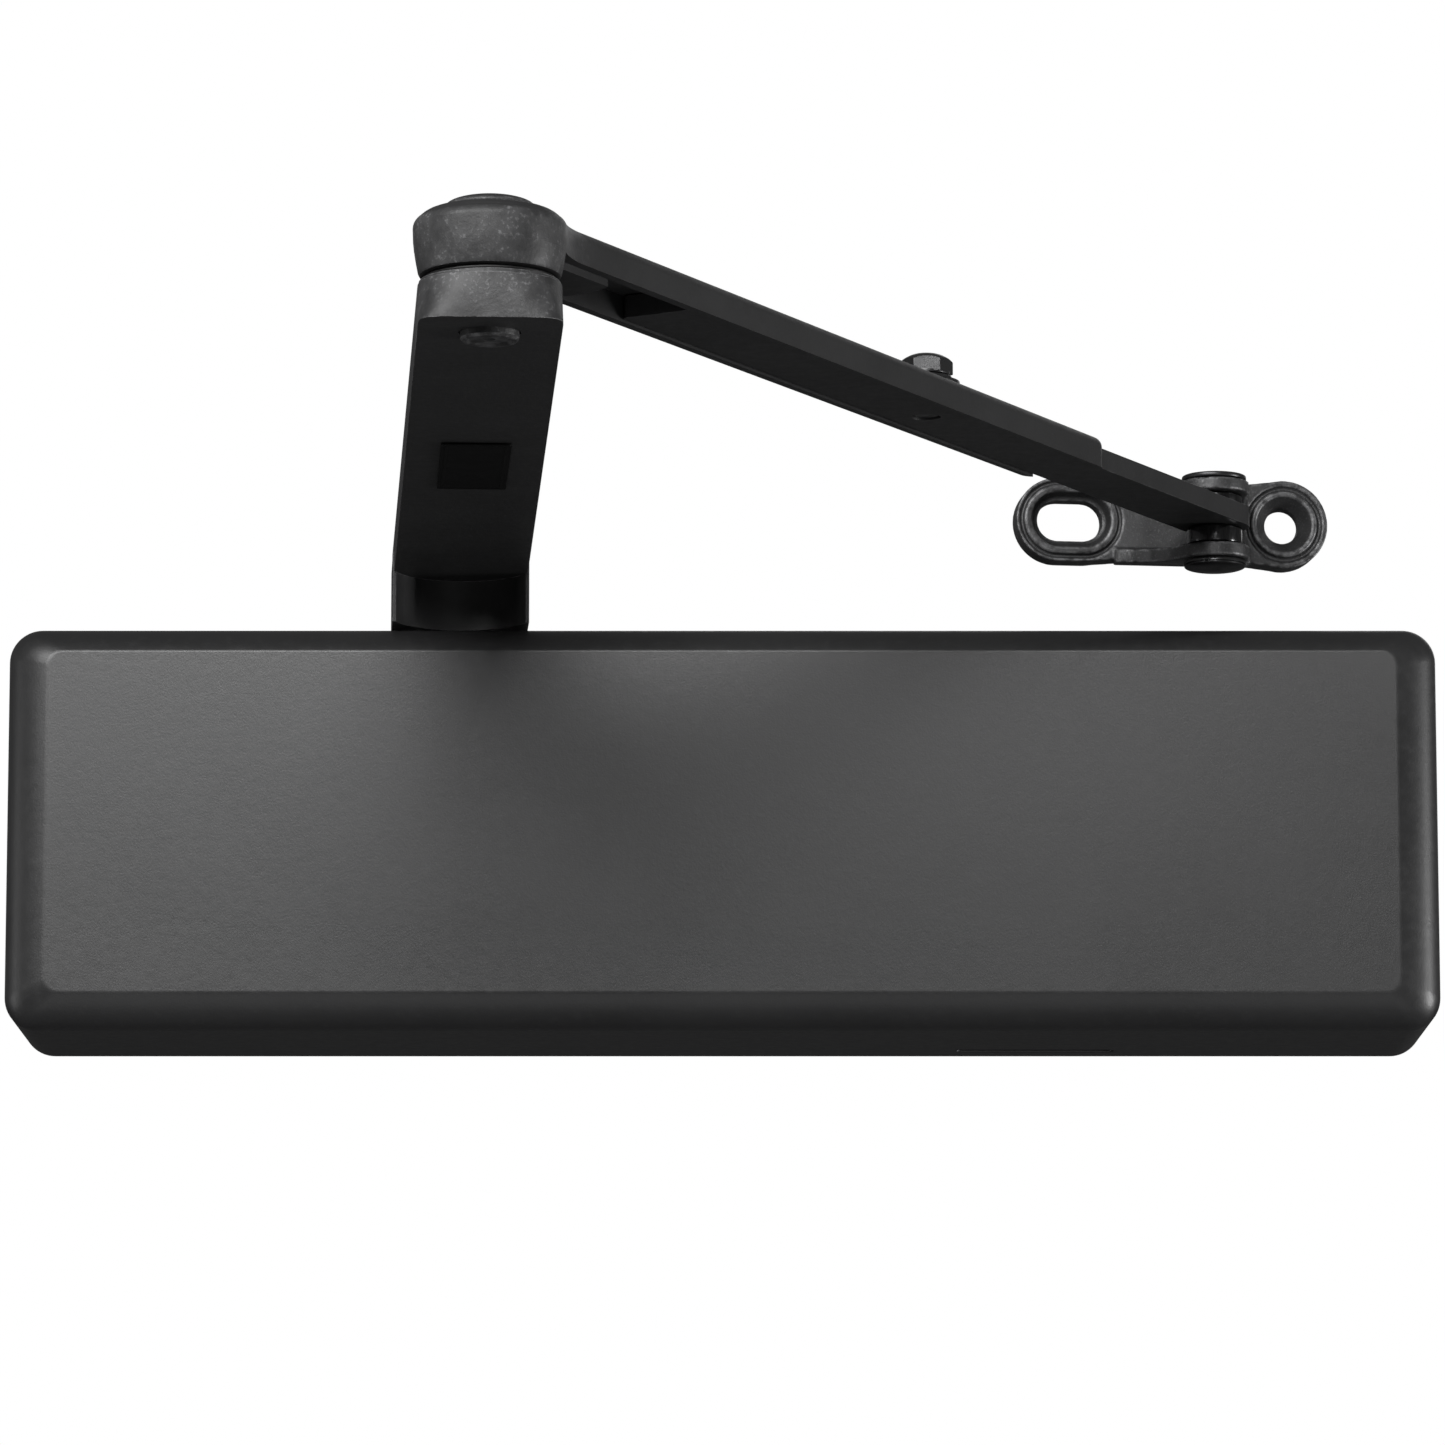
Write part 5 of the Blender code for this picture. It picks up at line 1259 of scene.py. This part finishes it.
def ear(low, high, left_lift, right_lift):
    """One ear: round at the pin, sweeping into the plate and lifted at its roots."""
    root = PLATE_BACK - 3.0 * MM
    points = arc((0.0, 0.0), 8.2 * MM, -150.0, 10.0, 40)
    points += [(8.6 * MM, 6.0 * MM), (9.4 * MM, 10.5 * MM), (11.0 * MM, PLATE_FRONT)]
    points += [(11.0 * MM, root), (-21.0 * MM, root), (-21.0 * MM, PLATE_FRONT - 0.6 * MM)]
    points += mm((-17.5, 12.4), (-13.6, 8.6), (-10.0, 3.6))
    mesh = plate([points], low, high)
    for vertex in mesh.vertices:
        left = (-7.0 * MM - vertex.co.x) / (14.0 * MM)
        right = (vertex.co.y - 5.0 * MM) / (10.0 * MM) if vertex.co.x > 0 else 0.0
        vertex.co.z += left_lift * min(1.0, max(0.0, left))
        vertex.co.z += right_lift * min(1.0, max(0.0, right))
    return mesh


def facing(outlines, near, far):
    """A plate seen from the front, between two distances from the pin."""
    mesh = plate(outlines, -far, -near, UPRIGHT)
    mesh.transform(Matrix.Translation((0.0, 0.0, PLATE_MIDDLE)))
    return mesh


def tapered(outline_near, outline_far, near, far):
    """A closed loft between two outlines seen from the front."""
    return lofted([[(x, depth, z + PLATE_MIDDLE) for x, z in outline]
                   for outline, depth in ((outline_near, near), (outline_far, far))])


def build_shoe():
    """Cast bracket: ridged screw hole and slot, two swept ears, soft sandy edges."""
    lug = 0.45 * MM
    shoe = Solid(facing([shoe_plate_outline()], PLATE_FRONT, PLATE_BACK))
    lower_top = floor_of("lower_bushing") - PIECE_GAP
    upper_low = top_of("upper_bushing") + PIECE_GAP
    shoe.join(ear(lower_top - 3.3 * MM, lower_top, 1.9 * MM, 1.9 * MM))
    shoe.join(ear(upper_low, upper_low + 2.9 * MM, 0.8 * MM, -0.6 * MM))

    def round_hole(radius, steps=72):
        return circle((HOLE_X, 0.0), radius, steps)

    def long_hole(width):
        return stadium((SLOT_X, 0.0), SLOT_LENGTH - SLOT_WIDTH + width, width)

    ridges = ((round_hole(9.2 * MM, 96), round_hole(8.0 * MM, 96)),
              (long_hole(18.6 * MM), long_hole(16.6 * MM)))
    for groove in ridges:
        shoe.cut(facing(groove, PLATE_FRONT - 2.0 * MM, PLATE_FRONT + 0.8 * MM))
    for groove in ridges:
        shoe.join(facing([groove[1]], PLATE_FRONT - lug, PLATE_FRONT + 2.0 * MM))
    for hole in (round_hole(HOLE_RADIUS), long_hole(SLOT_WIDTH)):
        shoe.cut(facing([hole], 0.01, 0.03))
    shoe.cut(tapered(round_hole(7.0 * MM), round_hole(HOLE_RADIUS - 0.1 * MM),
                     PLATE_FRONT - lug - 0.2 * MM, PLATE_FRONT + 3.2 * MM))
    shoe.cut(tapered(long_hole(13.6 * MM), long_hole(11.4 * MM),
                     PLATE_FRONT - lug - 0.2 * MM, PLATE_FRONT + 2.0 * MM))
    shoe.cut(rod_between(PIN_RADIUS + PIECE_GAP, 0.06, 0.1))
    rough = shown("shoe_rough", shoe.mesh())
    voxel = rough.modifiers.new("cast", "REMESH")
    voxel.mode = "VOXEL"
    voxel.voxel_size = CAST_GRAIN
    voxel.use_smooth_shade = True
    soft = rough.modifiers.new("soften", "SMOOTH")
    soft.factor = 0.5
    soft.iterations = 4
    mesh = baked(rough)
    work = bmesh.new()
    work.from_mesh(mesh)
    work.normal_update()
    bends = [sum(edge.calc_face_angle_signed(0.0) for edge in vertex.link_edges)
             for vertex in work.verts]
    work.free()
    mark_edges_and_glints(mesh, "POINT", [min(1.0, max(0.0, (bend - 0.25) / 0.5)) for bend in bends])
    mesh.transform(AT_SHOE)
    fit("shoe_bracket", mesh, SHOE_CAST, "shoe")


def build_shoe_pin():
    """Headed pin: a collar, a domed head below and a peened top."""
    low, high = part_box("shoe_pin")
    head = 7.3 * MM
    head_top = low.z + 2.3 * MM
    profile = [(0.0, high.z), (PIN_RADIUS - 0.9 * MM, high.z - 0.1 * MM),
               (PIN_RADIUS, high.z - 0.6 * MM), (PIN_RADIUS, head_top),
               (head - 0.2 * MM, head_top), (head, head_top - 0.2 * MM),
               (head, head_top - 0.7 * MM), (head - 0.5 * MM, head_top - 0.85 * MM),
               (head - 0.5 * MM, head_top - 1.0 * MM), (head - 0.1 * MM, head_top - 1.15 * MM)]
    for step in range(1, 12):
        angle = radians(90.0 * step / 11)
        profile.append(((head - 0.1 * MM) * cos(angle),
                        head_top - (1.15 + 1.15 * sin(angle)) * MM))
    pin = turned(profile, AT_SHOE)
    fit("shoe_pin_headed", pin, DARK_STEEL, "shoe_pin", sharp=50.0)


# ------------------------------------------------------- pieces kept from the CAD
def paint_kept_nodes():
    """Finishes for the working parts inside the barrel, whose shape is kept."""
    kept = {
        "pinion": GROUND_STEEL, "piston": GROUND_STEEL, "spring_seat": BRIGHT_STEEL,
        "upper_bearing": BRASS, "lower_bearing": BRASS, "shaft_seal": RUBBER,
        "end_seal_left": RUBBER, "end_seal_right": RUBBER, "piston_seal": RUBBER,
    }
    for node, look in kept.items():
        for slot in NODES[node].material_slots:
            slot.material = look


# -------------------------------------------------------- floor, light and camera
FLOOR_HEIGHT = -0.48
FLOOR_REACH = 6.0
CAMERA_PLACE = (0.0, -1.757, -0.260)
CAMERA_TILT = 9.48
CAMERA_LENS = 186.55
SURROUND = 0.10
LIGHTS = (  # name, place, aim, size, power
    ("key", (-0.34, -1.0, 0.47), (0.0, -0.05, 0.0), (1.1, 0.32), 13.0),
    ("front", (0.4, -1.8, -0.15), (0.0, -0.1, 0.0), (0.5, 0.5), 0.9),
    ("left_strip", (-1.4, -0.25, -0.25), (0.0, -0.05, 0.0), (0.2, 0.8), 2.4),
    ("right_strip", (1.4, -0.30, -0.30), (0.0, -0.05, 0.0), (0.2, 0.8), 14.0),
    ("back", (0.5, 1.6, 0.7), (0.0, 0.0, 0.0), (1.2, 0.8), 3.0),
    ("under", (0.0, -0.5, -0.44), (0.0, -0.1, 0.0), (0.9, 0.3), 0.5),
)


def build_floor():
    """A plain pale floor well below the closer."""
    look = Finish("pale_floor", specular=0.2)
    cloud = look.noise(0.9, 2.0)
    path = look.out("ShaderNodeLightPath", {})
    deep = look.over(cloud, grey(0.16), grey(0.18))
    colour = look.over(path, deep, look.over(cloud, grey(0.74), grey(0.78)))
    look.close(colour, look.spread(cloud, 0.3, 0.7, 0.75, 0.85))
    work = bmesh.new()
    bmesh.ops.create_grid(work, x_segments=8, y_segments=8, size=FLOOR_REACH)
    mesh = bpy.data.meshes.new("floor")
    work.to_mesh(mesh)
    work.free()
    mesh.transform(Matrix.Translation((0.0, 0.0, FLOOR_HEIGHT)))
    mesh.materials.append(look.made)
    shown("floor", mesh)


def softbox(name, place, aim, size, power):
    """A rectangular soft light aimed at a point."""
    lamp = bpy.data.lights.new(name, "AREA")
    lamp.shape = "RECTANGLE"
    lamp.size, lamp.size_y = size
    lamp.energy = power
    made = shown(name, lamp)
    made.visible_camera = False
    made.location = place
    made.rotation_euler = (Vector(aim) - Vector(place)).to_track_quat("-Z", "Y").to_euler()


def light_studio():
    """White surround for the eye, a dim one for the gloss, and softboxes."""
    world = bpy.data.worlds.new("studio")
    bpy.context.scene.world = world
    world.use_nodes = True
    work = Tree(world.node_tree)
    seen = work.nodes["Background"]
    seen.inputs["Color"].default_value = (1.0, 1.0, 1.0, 1.0)
    seen.inputs["Strength"].default_value = 1.0
    around = work.out("ShaderNodeBackground", {"Color": (1.0, 1.0, 1.0, 1.0),
                                               "Strength": SURROUND})
    path = work.out("ShaderNodeLightPath", {})
    pick = work.out("ShaderNodeMixShader", {0: path, 1: around, 2: seen.outputs[0]})
    work.links.new(pick, work.nodes["World Output"].inputs["Surface"])
    for row in LIGHTS:
        softbox(*row)


def place_camera():
    """Long lens from in front and below, tilted up."""
    lens = bpy.data.cameras.new("camera")
    lens.lens = CAMERA_LENS
    lens.sensor_width = 36.0
    lens.clip_start = 0.05
    lens.clip_end = 30.0
    lens.dof.use_dof = False
    camera = shown("camera", lens)
    camera.location = CAMERA_PLACE
    camera.rotation_euler = (radians(90.0 + CAMERA_TILT), 0.0, 0.0)
    bpy.context.scene.camera = camera


for build in (build_closer_body, build_end_caps, build_spindle_rings, build_valves, build_spring,
              build_cover, build_cover_ribs, build_cover_clips, build_main_arm, build_arm_label,
              build_elbow, build_forearm, build_rod, build_screws, build_washers,
              build_clamp_washers, build_shoe, build_shoe_pin, paint_kept_nodes, build_floor,
              light_studio, place_camera):
    build()

scene = bpy.context.scene
scene.view_settings.view_transform = "Standard"
scene.view_settings.look = "None"

bpy.context.view_layer.update()
